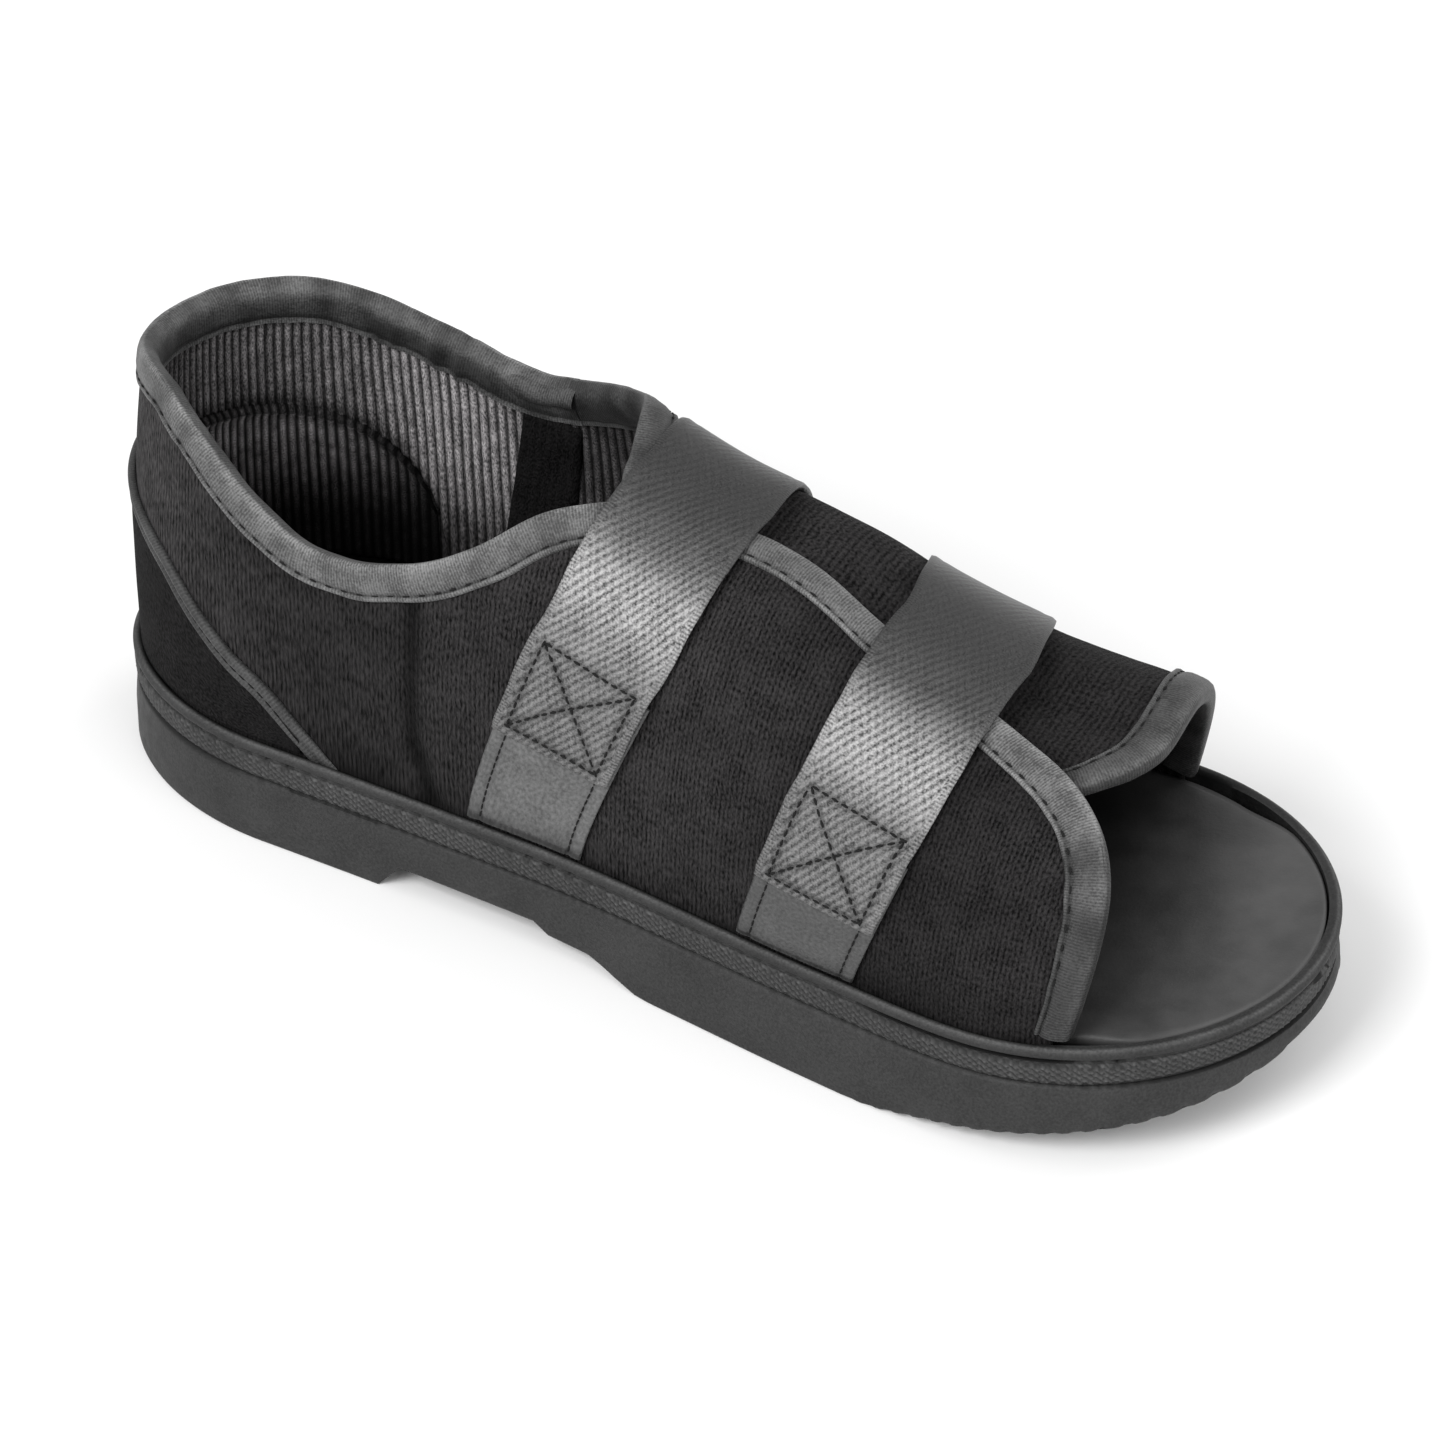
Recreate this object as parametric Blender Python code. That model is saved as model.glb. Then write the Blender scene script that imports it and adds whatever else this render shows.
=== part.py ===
"""Open-toe post-operative shoe that fits either foot.

A rubber rocker sole carries an insole and a wrap-over fabric upper with bound edges.
Two webbing straps are sewn to tabs on the near side and close over the instep.
The toe points to +X, the heel to -X, and the sewn ends of the straps are on the -Y side.
The origin is on the floor, in the middle of the shoe's length and width.
"""
import math

import bmesh
import bpy
from mathutils import Vector

MM = 0.001

# Plan of the outsole
LENGTH = 275.0 * MM
HEEL_WIDTH = 79.0 * MM
WAIST_WIDTH = 80.8 * MM
BALL_WIDTH = 94.6 * MM
TOE_WIDTH = 100.4 * MM
HEEL_CAP = 52.4 * MM
TOE_CAP = 54.4 * MM
WAIST_AT = 0.42
BALL_AT = 0.683

# Heights of the outsole
RIM_HEIGHT = 25.2 * MM
TOE_LIFT = 5.3 * MM
TOE_LIFT_FROM = 0.6
ARCH_HEIGHT = 6.6 * MM
ROCKER_HEIGHT = 17.6 * MM
BAND_HEIGHT = 6.1 * MM
BEAD_HEIGHT = 3.0 * MM
BEAD_WIDTH = 2.6 * MM
TRAY_DEPTH = 6.0 * MM
EDGE_BEVEL = 0.8 * MM
SOLE_FLARE = 2.2 * MM
GROOVE_DEPTH = 1.0 * MM
GROOVE_HEIGHT = 0.6 * MM
BAND_INSET = 0.3 * MM
BEAD_UNDERCUT = 1.1 * MM
BEAD_ROUND = 0.3 * MM

# Tread
TREAD_DEPTH = 1.8 * MM
TREAD_SLOT = 3.0 * MM
TREAD_PITCH = 10.0 * MM
TREAD_MARGIN = 9.0 * MM
TREAD_EDGE = 4.0 * MM

# Upper
CLEARANCE = 0.35 * MM
SEAT_GAP = 0.4 * MM
WALL = 2.2 * MM
INSTEP_HEIGHT = 98.0 * MM
INSOLE_EDGE_DROP = 0.6 * MM
INSOLE_TIP = 2.0 * MM
INSOLE_DISH = 1.6 * MM

# Tape, counter and straps
FOOT_RISE = 0.6 * MM
TAPE = 0.6 * MM
TAPE_GAP = 0.45 * MM
LINING_GAP = 0.65 * MM
TAPE_PITCH = 5.2 * MM
TAPE_WIDTH = 7.2 * MM
COUNTER_THICKNESS = 0.8 * MM
COUNTER_HEIGHT = 41.0 * MM
STRAP_WIDTH = 27.4 * MM
STRAP_THICKNESS = 1.3 * MM
TAB_THICKNESS = 1.0 * MM
REAR_STRAP_AT = 0.425 * LENGTH
REAR_STRAP_LEAN = 22.0 * MM
REAR_STRAP_SWEEP = 16.0 * MM
FRONT_STRAP_AT = 0.663 * LENGTH
FRONT_STRAP_LEAN = 13.2 * MM
FRONT_STRAP_SWEEP = 23.0 * MM

# Worked out from the sizes above
SEAT_INSET = BEAD_WIDTH + SEAT_GAP
HEEL_HALF = HEEL_WIDTH / 2
TOE_HALF = TOE_WIDTH / 2
TOE_START = LENGTH - TOE_CAP
HEEL_ARC = math.pi / 2 * math.hypot(HEEL_CAP, HEEL_HALF) / math.sqrt(2)
TOE_ARC = math.pi / 2 * math.hypot(TOE_CAP, TOE_HALF) / math.sqrt(2)
PATH_END = HEEL_ARC + TOE_START - HEEL_CAP + TOE_ARC
BOUND_EDGE = TAPE_GAP + TAPE
FLAP_DROP = WALL + LINING_GAP + TAPE + CLEARANCE + BOUND_EDGE
STRAP_LOW = CLEARANCE
STRAP_OVER_TAPE = BOUND_EDGE + CLEARANCE
STRAP_OVER_TAB = CLEARANCE + TAB_THICKNESS + CLEARANCE

# Half width along the straight part of the outline: share of LENGTH, half width
OUTLINE = (
    (0.0, HEEL_HALF),
    (HEEL_CAP / LENGTH, HEEL_HALF),
    (WAIST_AT, WAIST_WIDTH / 2),
    (BALL_AT, BALL_WIDTH / 2),
    (TOE_START / LENGTH, TOE_HALF),
    (1.0, TOE_HALF),
)

# Underside: share of LENGTH, share of ARCH_HEIGHT, share of ROCKER_HEIGHT
UNDERSIDE = (
    (0.000, 0.00, 0.00),
    (0.296, 0.00, 0.00),
    (0.305, 0.45, 0.00),
    (0.316, 1.00, 0.00),
    (0.436, 0.94, 0.00),
    (0.449, 0.60, 0.00),
    (0.485, 0.52, 0.00),
    (0.510, 0.20, 0.00),
    (0.530, 0.00, 0.00),
    (0.727, 0.00, 0.00),
    (0.778, 0.00, 0.13),
    (0.836, 0.00, 0.30),
    (0.891, 0.00, 0.46),
    (0.938, 0.00, 0.63),
    (0.978, 0.00, 0.84),
    (1.000, 0.00, 1.00),
)

# How far the side of the sole swells outwards: share of LENGTH, share of SOLE_FLARE
FLARE = (
    (0.00, 0.30),
    (0.12, 0.25),
    (0.48, 0.10),
    (0.55, 1.00),
    (0.69, 1.00),
    (0.80, 0.50),
    (1.00, 0.30),
)

# Ridge of the upper: share of LENGTH, share of INSTEP_HEIGHT
RIDGE = (
    (0.100, 1.531),
    (0.191, 1.531),
    (0.255, 1.449),
    (0.305, 1.327),
    (0.356, 1.173),
    (0.411, 1.061),
    (0.455, 1.000),
    (0.498, 0.958),
    (0.545, 0.934),
    (0.600, 0.896),
    (0.655, 0.826),
    (0.709, 0.777),
    (0.745, 0.751),
    (0.800, 0.733),
    (0.873, 0.733),
)

# Roundness of the sections: share of LENGTH, power of the rounded arch
FULLNESS = (
    (0.19, 2.50),
    (0.44, 2.50),
    (0.58, 2.30),
    (0.87, 2.15),
)

# Top edge of the near side, heel to flap corner: share of LENGTH along the edge, height share
NEAR_EDGE = (
    (-0.100, 0.320),
    (0.000, 0.320),
    (0.147, 0.350),
    (0.212, 0.310),
    (0.272, 0.245),
    (0.306, 0.225),
    (0.340, 0.235),
    (0.390, 0.295),
    (0.448, 0.450),
    (0.500, 0.690),
    (0.565, 0.900),
    (0.640, 0.955),
    (0.721, 0.930),
    (0.781, 0.895),
    (0.834, 0.855),
    (0.880, 0.800),
    (0.916, 0.720),
    (0.942, 0.605),
)

# Top edge of the far side, past 1 where the flap passes under the near flap
FAR_EDGE = (
    (-0.100, 0.320),
    (0.000, 0.320),
    (0.143, 0.325),
    (0.221, 0.305),
    (0.274, 0.285),
    (0.325, 0.285),
    (0.362, 0.305),
    (0.395, 0.360),
    (0.424, 0.440),
    (0.470, 0.600),
    (0.490, 0.740),
    (0.513, 1.000),
    (0.535, 1.180),
    (0.575, 1.250),
    (0.889, 1.250),
)

# Front edge of each flap: height share, distance ahead of the flap's corner
NEAR_FRONT = (
    (0.000, 1.4 * MM),
    (0.190, 3.8 * MM),
    (0.310, 4.2 * MM),
    (0.460, 3.4 * MM),
    (0.540, 2.3 * MM),
    (0.605, 0.0 * MM),
)
FAR_FRONT = (
    (0.000, 2.5 * MM),
    (0.300, 7.0 * MM),
    (0.550, 10.6 * MM),
    (0.800, 13.3 * MM),
    (1.000, 13.5 * MM),
    (1.090, 10.8 * MM),
    (1.180, 5.5 * MM),
    (1.250, 0.0 * MM),
)

# Top line of the heel counter: share of LENGTH along the edge, share of COUNTER_HEIGHT
COUNTER_LINE = (
    (-0.100, 1.00),
    (0.000, 1.00),
    (0.113, 0.92),
    (0.168, 0.80),
    (0.210, 0.58),
    (0.240, 0.42),
    (0.265, 0.31),
    (0.300, 0.09),
)

# Steps up each column of the upper, closest together where its section bends most
COLUMN_STEPS = (0, 0.09, 0.18, 0.27, 0.35, 0.42, 0.48, 0.54, 0.6, 0.66, 0.72, 0.79, 0.86, 0.93, 1)

# Columns of each side from the heel to the flap's corner, closest where its top edge bends
NEAR_COLUMNS = (
    0.03, 0.06, 0.09, 0.12, 0.15, 0.18, 0.21, 0.24, 0.27, 0.30, 0.33, 0.36, 0.40, 0.44,
    0.49, 0.54, 0.59, 0.64, 0.70, 0.76, 0.81, 0.86, 0.90, 0.935, 0.965, 0.985, 1.00,
)
FAR_COLUMNS = (
    0.06, 0.12, 0.17, 0.21, 0.24, 0.27, 0.30, 0.32, 0.335, 0.35, 0.36, 0.37, 0.38, 0.39,
    0.40, 0.41, 0.43, 0.47, 0.52, 0.58, 0.64, 0.70, 0.76, 0.82, 0.88, 0.93, 0.97, 1.00,
)


def clear_scene():
    """Remove every object that the file opened with."""
    for thing in list(bpy.data.objects):
        bpy.data.objects.remove(thing, do_unlink=True)


def finish(name, colour, roughness):
    """A plain material of one colour."""
    material = bpy.data.materials.new(name)
    material.use_nodes = True
    shader = material.node_tree.nodes["Principled BSDF"]
    shader.inputs["Base Color"].default_value = (*colour, 1.0)
    shader.inputs["Roughness"].default_value = roughness
    shader.inputs["Metallic"].default_value = 0.0
    return material


def curve(rows, at):
    """Smooth curve through rows of (place, value) that never overshoots them."""
    if at <= rows[0][0]:
        return rows[0][1]
    if at >= rows[-1][0]:
        return rows[-1][1]
    rises = [(b[1] - a[1]) / (b[0] - a[0]) for a, b in zip(rows, rows[1:])]
    slopes = [rises[0]]
    for before, after in zip(rises, rises[1:]):
        same_way = before * after > 0
        slopes.append(2 * before * after / (before + after) if same_way else 0.0)
    slopes.append(rises[-1])
    low = max(i for i, row in enumerate(rows[:-1]) if row[0] <= at)
    span = rows[low + 1][0] - rows[low][0]
    t = (at - rows[low][0]) / span
    return (
        (2 * t**3 - 3 * t**2 + 1) * rows[low][1]
        + (t**3 - 2 * t**2 + t) * span * slopes[low]
        + (3 * t**2 - 2 * t**3) * rows[low + 1][1]
        + (t**3 - t**2) * span * slopes[low + 1]
    )


def straight(rows, at):
    """Straight lines through rows of (place, value)."""
    for (x0, y0), (x1, y1) in zip(rows, rows[1:]):
        if at <= x1:
            return y0 + (y1 - y0) * max(0.0, at - x0) / (x1 - x0)
    return rows[-1][1]


def ramp(start, stop, at):
    """Rise smoothly from 0 at start to 1 at stop."""
    t = min(1.0, max(0.0, (at - start) / (stop - start)))
    return t * t * (3 - 2 * t)


def half_width(x, inset):
    """Half the outline's width at x from the heel, the outline shrunk by inset."""
    if x < HEEL_CAP:
        back = (HEEL_CAP - x) / (HEEL_CAP - inset)
        return (HEEL_HALF - inset) * math.sqrt(max(0.0, 1 - back * back))
    if x > TOE_START:
        ahead = (x - TOE_START) / (TOE_CAP - inset)
        return (TOE_HALF - inset) * math.sqrt(max(0.0, 1 - ahead * ahead))
    return curve(OUTLINE, x / LENGTH) - inset


def outline(place, inset):
    """Point of the outline, place being the way along it from the heel, far side positive."""
    along = abs(place)
    side = math.copysign(1.0, place)
    if along <= HEEL_ARC:
        turn = along / HEEL_ARC * math.pi / 2
        x = HEEL_CAP - (HEEL_CAP - inset) * math.cos(turn)
        y = (HEEL_HALF - inset) * math.sin(turn)
    elif along <= PATH_END - TOE_ARC:
        x = HEEL_CAP + along - HEEL_ARC
        y = half_width(x, inset)
    else:
        turn = (PATH_END - along) / TOE_ARC * math.pi / 2
        x = TOE_START + (TOE_CAP - inset) * math.cos(turn)
        y = (TOE_HALF - inset) * math.sin(turn)
    return x, side * y


def rim_height(x):
    """Height of the sole's top edge."""
    rise = max(0.0, x / LENGTH - TOE_LIFT_FROM) / (1 - TOE_LIFT_FROM)
    return RIM_HEIGHT + TOE_LIFT * rise * rise


def underside(x):
    """Height of the tread: heel flat, arch, forefoot flat and rocker."""
    share = x / LENGTH
    arch = straight([(row[0], row[1]) for row in UNDERSIDE], share)
    rocker = straight([(row[0], row[2]) for row in UNDERSIDE], share)
    return ARCH_HEIGHT * arch + ROCKER_HEIGHT * rocker


def section(x, rise_share, out):
    """Width share and height of the arched section at x, rise_share running 0 to 2 over it."""
    turn = rise_share * math.pi / 2
    power = 2 / curve(FULLNESS, x / LENGTH)
    width = math.copysign(abs(math.cos(turn)) ** power, math.cos(turn))
    foot = rim_height(x)
    top = INSTEP_HEIGHT * curve(RIDGE, max(x, HEEL_CAP) / LENGTH)
    return width, foot + (top - foot + out) * abs(math.sin(turn)) ** power


def skin(place, rise_share, out=0.0):
    """Point of the upper's outer face, moved outwards by out."""
    along = abs(place)
    side = math.copysign(1.0, place)
    if along <= HEEL_ARC:
        width, z = section(HEEL_CAP, rise_share, out)
        turn = along / HEEL_ARC * math.pi / 2
        x = HEEL_CAP - (HEEL_CAP - SEAT_INSET + out) * math.cos(turn) * width
        y = (HEEL_HALF - SEAT_INSET + out) * math.sin(turn) * width
    else:
        x = HEEL_CAP + along - HEEL_ARC
        width, z = section(x, rise_share, out)
        y = (half_width(x, SEAT_INSET) + out) * width
    return Vector((x - LENGTH / 2, side * y, z))


def wrap(place, rise_share, out=0.0):
    """Like skin, with the far flap lowered where it passes under the near flap."""
    drop = FLAP_DROP * ramp(0.72, 1.0, rise_share) if place > 0 else 0.0
    return skin(place, rise_share, out - drop)


def share_at(place, rise):
    """Height share at which the upper stands rise above the sole's edge."""
    x = max(HEEL_CAP, HEEL_CAP + abs(place) - HEEL_ARC)
    foot = rim_height(x)
    top = INSTEP_HEIGHT * curve(RIDGE, x / LENGTH)
    power = curve(FULLNESS, x / LENGTH) / 2
    return math.asin(min(1.0, (rise / (top - foot)) ** power)) * 2 / math.pi


def place_of(x):
    """Way along the edge for a section x from the heel."""
    return HEEL_ARC + x - HEEL_CAP


def steps(start, stop, count):
    """Count + 1 even steps from start to stop."""
    return [start + (stop - start) * i / count for i in range(count + 1)]


def make_object(name, mesh, material, smooth_below=40.0):
    """Turn a bmesh into a named object with its faces pointing outwards."""
    bmesh.ops.recalc_face_normals(mesh, faces=mesh.faces)
    data = bpy.data.meshes.new(name)
    mesh.to_mesh(data)
    mesh.free()
    data.materials.append(material)
    data.shade_smooth()
    data.set_sharp_from_angle(angle=math.radians(smooth_below))
    thing = bpy.data.objects.new(name, data)
    bpy.context.scene.collection.objects.link(thing)
    return thing


def make_shell(name, outer, inner, material):
    """Closed solid between two matching grids of points, joined round their edges."""
    mesh = bmesh.new()
    grids = [[[mesh.verts.new(p) for p in line] for line in grid] for grid in (outer, inner)]
    rows, columns = len(outer), len(outer[0])
    for grid in grids:
        for r in range(rows - 1):
            for c in range(columns - 1):
                mesh.faces.new((grid[r][c], grid[r][c + 1], grid[r + 1][c + 1], grid[r + 1][c]))
    border = [(0, c) for c in range(columns)]
    border += [(r, columns - 1) for r in range(1, rows)]
    border += [(rows - 1, c) for c in range(columns - 2, -1, -1)]
    border += [(r, 0) for r in range(rows - 2, 0, -1)]
    for (r0, c0), (r1, c1) in zip(border, border[1:] + border[:1]):
        mesh.faces.new((grids[0][r0][c0], grids[0][r1][c1], grids[1][r1][c1], grids[1][r0][c0]))
    return make_object(name, mesh, material)


def make_loft(name, loops, material):
    """Closed solid through matching closed loops, with its two ends capped."""
    mesh = bmesh.new()
    rings = [[mesh.verts.new(p) for p in loop] for loop in loops]
    for low, high in zip(rings, rings[1:]):
        for i in range(len(low)):
            j = (i + 1) % len(low)
            mesh.faces.new((low[i], low[j], high[j], high[i]))
    mesh.faces.new(rings[0])
    mesh.faces.new(rings[-1])
    return make_object(name, mesh, material)


def sole_places():
    """Ways along the outline for the sole's rings, heel tip to toe tip."""
    heel = steps(0.0, HEEL_ARC, 8)
    side = [row[0] * LENGTH for row in UNDERSIDE if HEEL_CAP < row[0] * LENGTH < TOE_START]
    side += [share * LENGTH for share in (0.24, 0.355, 0.395, 0.56, 0.61, 0.655, 0.695)]
    toe = steps(PATH_END - TOE_ARC, PATH_END, 9)
    return heel + [place_of(x) for x in sorted(side)] + toe


def sole_section(x):
    """Rows of (inset, height) up the sole's side and down inside its bead."""
    low = underside(x)
    rim = rim_height(x)
    groove = rim - BEAD_HEIGHT - BAND_HEIGHT
    side = groove - low
    flare = SOLE_FLARE * curve(FLARE, x / LENGTH)
    return (
        (EDGE_BEVEL - flare, low),
        (-flare, low + min(0.3 * side, EDGE_BEVEL)),
        (-0.6 * flare, low + 0.6 * side),
        (BAND_INSET, groove - min(0.2 * side, EDGE_BEVEL)),
        (BAND_INSET + GROOVE_DEPTH, groove),
        (BAND_INSET, groove + GROOVE_HEIGHT),
        (BAND_INSET, rim - BEAD_HEIGHT),
        (BEAD_UNDERCUT, rim - 0.85 * BEAD_HEIGHT),
        (0.0, rim - 0.7 * BEAD_HEIGHT),
        (0.0, rim - 0.3 * BEAD_HEIGHT),
        (0.35 * BEAD_WIDTH, rim),
        (0.75 * BEAD_WIDTH, rim + BEAD_ROUND / 3),
        (BEAD_WIDTH, rim - BEAD_ROUND),
        (BEAD_WIDTH, rim - TRAY_DEPTH),
    )


def build_outsole(rubber):
    """Rubber sole with bead, patterned band, heel, arch, rocker toe and a tray for the insole."""
    places = sole_places()
    loop = places + [-place for place in places[-2:0:-1]]
    mesh = bmesh.new()
    rings = []
    for level in range(len(sole_section(0.0))):
        ring = []
        for place in loop:
            x_edge = outline(place, 0.0)[0]
            inset, z = sole_section(x_edge)[level]
            x, y = outline(place, inset)
            ring.append(mesh.verts.new((x - LENGTH / 2, y, z)))
        rings.append(ring)
    count = len(loop)
    for low, high in zip(rings, rings[1:]):
        for i in range(count):
            j = (i + 1) % count
            mesh.faces.new((low[i], low[j], high[j], high[i]))
    for ring in (rings[0], rings[-1]):
        for i in range(len(places) - 1):
            corners = (i, i + 1, count - i - 1, (count - i) % count)
            mesh.faces.new([ring[k] for k in dict.fromkeys(corners)])
    sole = make_object("outsole", mesh, rubber)
    cut = sole.modifiers.new("tread", "BOOLEAN")
    cut.operation = "DIFFERENCE"
    cut.solver = "EXACT"
    cut.object = build_tread_cutter(rubber)
    return sole


def build_tread_cutter(rubber):
    """Bars that cut the slots of the tread: open ones in the forefoot, pockets in the heel."""
    flat_heel = [row[0] for row in UNDERSIDE if row[1] == 0.0][1] * LENGTH
    forefoot = [row[0] for row in UNDERSIDE if row[1] == 0.0 and row[0] * LENGTH > flat_heel]
    bars = []
    x = TREAD_MARGIN + TREAD_SLOT
    while x + TREAD_SLOT + TREAD_MARGIN < flat_heel:
        bars.append((x, half_width(x, TREAD_MARGIN)))
        x += TREAD_PITCH
    x = forefoot[0] * LENGTH + TREAD_MARGIN
    while x + TREAD_SLOT + TREAD_MARGIN < LENGTH:
        bars.append((x, half_width(x, TREAD_EDGE)))
        x += TREAD_PITCH
    mesh = bmesh.new()
    for x, reach in bars:
        corners = []
        for end in (x, x + TREAD_SLOT):
            top = underside(end) + TREAD_DEPTH
            for y in (-reach, reach):
                corners.append((end, y, -TREAD_DEPTH))
                corners.append((end, y, top))
        verts = [mesh.verts.new((cx - LENGTH / 2, cy, cz)) for cx, cy, cz in corners]
        bmesh.ops.convex_hull(mesh, input=verts)
    cutter = make_object("tread_cutter", mesh, rubber)
    cutter.hide_render = True
    cutter.display_type = "WIRE"
    return cutter


def build_insole(foam):
    """Footbed in the sole's tray, clear of the upper's wall and reaching the bead at the toe."""
    by_wall = SEAT_INSET + WALL + 1.25 * SEAT_GAP
    by_bead = BEAD_WIDTH + SEAT_GAP
    places = [INSOLE_TIP] + sole_places()[1:-1] + [PATH_END - INSOLE_TIP]
    across = steps(-1.0, 1.0, 6)
    top, bottom = [], []
    for place in places:
        x_edge = outline(place, 0.0)[0]
        inset = by_wall + (by_bead - by_wall) * ramp(0.885 * LENGTH, 0.935 * LENGTH, x_edge)
        x, y = outline(place, inset)
        rim = rim_height(x_edge)
        edge = rim - INSOLE_EDGE_DROP
        dish = INSOLE_DISH * min(1.0, y / HEEL_HALF)
        top.append([(x - LENGTH / 2, y * t, edge - dish * (1 - t * t)) for t in across])
        floor = rim - TRAY_DEPTH + CLEARANCE
        bottom.append([(x - LENGTH / 2, y * t, floor) for t in across])
    return make_shell("insole", top, bottom, foam)


def flap_corner(side):
    """Section at which the top edge of a side meets its front edge."""
    edge = NEAR_EDGE if side < 0 else FAR_EDGE
    return HEEL_CAP + edge[-1][0] * LENGTH - HEEL_ARC


def top_share(place):
    """Height share of the upper's top edge."""
    return curve(NEAR_EDGE if place < 0 else FAR_EDGE, abs(place) / LENGTH)


def front_place(side, rise_share):
    """Way along the edge at which a flap's front edge stands."""
    front = NEAR_FRONT if side < 0 else FAR_FRONT
    return side * place_of(flap_corner(side) + curve(front, rise_share))


def upper_column(side, share):
    """Places and height shares up one column of the upper, share 1 being its front edge."""
    corner = flap_corner(side)
    x = HEEL_CAP + (corner - HEEL_CAP) * share
    top = top_share(side * place_of(x))
    column = []
    for step in COLUMN_STEPS:
        rise_share = top * step
        ahead = abs(front_place(side, rise_share)) - place_of(corner)
        place = side * (place_of(x) + ahead * ramp(0.6, 1.0, share))
        column.append((place, rise_share))
    return column


def upper_columns():
    """All columns of the upper, from the near flap's front round the heel to the far flap's."""
    columns = [upper_column(-1, share) for share in reversed(NEAR_COLUMNS)]
    for place in steps(-HEEL_ARC, HEEL_ARC, 14):
        top = top_share(place)
        columns.append([(place, top * step) for step in COLUMN_STEPS])
    columns += [upper_column(1, share) for share in FAR_COLUMNS]
    return columns


def build_upper(fabric):
    """Hollow wrap-over upper: heel, near flap on top and far flap under it, open at the toe."""
    grids = []
    for out in (0.0, -WALL):
        grid = []
        for column in upper_columns():
            points = [wrap(place, rise_share, out) for place, rise_share in column]
            sunk = points[0].copy()
            sunk.z = points[0].z - TRAY_DEPTH + CLEARANCE
            grid.append([sunk] + points)
        grids.append(grid)
    return make_shell("upper", grids[0], grids[1], fabric)


def inward_shift(edge, index, toward):
    """Change of place and height share for one metre across the fabric from its edge."""
    place, rise_share = edge[index]
    here = wrap(place, rise_share)
    before = wrap(*edge[max(0, index - 1)])
    after = wrap(*edge[min(len(edge) - 1, index + 1)])
    nudge = 0.5 * MM
    by_place = (wrap(place + nudge, rise_share) - wrap(place - nudge, rise_share)) / (2 * nudge)
    tilt = 0.002
    by_share = (wrap(place, rise_share + tilt) - wrap(place, rise_share - tilt)) / (2 * tilt)
    inward = by_place.cross(by_share).cross(after - before).normalized()
    if inward.dot(wrap(*toward) - here) < 0:
        inward.negate()
    a, b, c = by_place.dot(by_place), by_place.dot(by_share), by_share.dot(by_share)
    p, q = inward.dot(by_place), inward.dot(by_share)
    scale = a * c - b * b
    return (c * p - b * q) / scale, (a * q - b * p) / scale


def spaced(edge):
    """The spots of an edge that lie TAPE_PITCH apart, with both of its ends."""
    kept = [edge[0]]
    for spot in edge[1:]:
        if (wrap(*spot) - wrap(*kept[-1])).length >= TAPE_PITCH:
            kept.append(spot)
    if (wrap(*edge[-1]) - wrap(*kept[-1])).length < TAPE_PITCH / 2:
        kept.pop()
    return kept + [edge[-1]]


def build_binding(name, dense_edge, toward, tape):
    """Tape folded over an edge of the upper, given as its places and height shares."""
    edge = spaced(dense_edge)
    face, back = TAPE_GAP, -WALL - LINING_GAP
    half = TAPE_WIDTH / 2
    profile = (
        (TAPE_WIDTH, face + TAPE),
        (half, face + TAPE),
        (0.0, face + TAPE),
        (-BOUND_EDGE, face - TAPE / 2),
        (-BOUND_EDGE, back + TAPE / 2),
        (0.0, back - TAPE),
        (half, back - TAPE),
        (TAPE_WIDTH, back - TAPE),
        (TAPE_WIDTH, back),
        (half, back),
        (-TAPE_GAP, back),
        (-TAPE_GAP, face),
        (half, face),
        (TAPE_WIDTH, face),
    )
    loops = []
    for index, (place, rise_share) in enumerate(edge):
        target = toward if toward else (place, 0.0)
        d_place, d_share = inward_shift(edge, index, target)
        loop = []
        for across, out in profile:
            loop.append(wrap(place + d_place * across, rise_share + d_share * across, out))
        loops.append(loop)
    return make_loft(name, loops, tape)


def build_bindings(tape):
    """The four lengths of edge tape."""
    fine = 200
    split = place_of(REAR_STRAP_AT + REAR_STRAP_LEAN)
    collar_end = 0.402 * LENGTH
    collar = [(p, top_share(p)) for p in steps(-split + TAPE, collar_end, fine)]
    build_binding("collar_binding", collar, None, tape)
    corner = place_of(flap_corner(-1))
    top = [(-p, top_share(-p)) for p in steps(split + TAPE, corner, fine)]
    foot = share_at(corner, FOOT_RISE)
    front = [(front_place(-1, share), share) for share in steps(top[-1][1], foot, fine)[1:]]
    build_binding("near_flap_binding", top + front, (-place_of(0.72 * LENGTH), 0.3), tape)
    foot = share_at(place_of(flap_corner(1)), FOOT_RISE)
    far = [(front_place(1, share), share) for share in steps(foot, 1.2, fine)]
    build_binding("far_flap_front_binding", far, (place_of(0.7 * LENGTH), 0.6), tape)
    rear = [(p, top_share(p)) for p in steps(collar_end + TAPE, 0.537 * LENGTH, fine)]
    build_binding("far_flap_rear_binding", rear, (place_of(0.72 * LENGTH), 0.6), tape)


def build_counter(fabric):
    """Stiff cover round the heel, under the raised seam that runs down to the sole."""
    end = COUNTER_LINE[-1][0] * LENGTH
    columns = steps(-end, end, 22)
    outer, inner = [], []
    for place in columns:
        low = share_at(place, FOOT_RISE)
        rise = COUNTER_HEIGHT * curve(COUNTER_LINE, abs(place) / LENGTH)
        high = share_at(place, rise)
        shares = steps(low, high, 4)
        outer.append([skin(place, s, CLEARANCE + COUNTER_THICKNESS) for s in shares])
        inner.append([skin(place, s, CLEARANCE) for s in shares])
    return make_shell("heel_counter", outer, inner, fabric)


def strap_place(at, lean, sweep, across, rise_share):
    """Way along the near edge of a strap's point, leaning forward and then sweeping back."""
    x = at + lean * (1 - max(0.0, 1 - rise_share) ** 2.3)
    x -= sweep * max(0.0, rise_share - 1) ** 1.2
    return -place_of(x + across)


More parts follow.
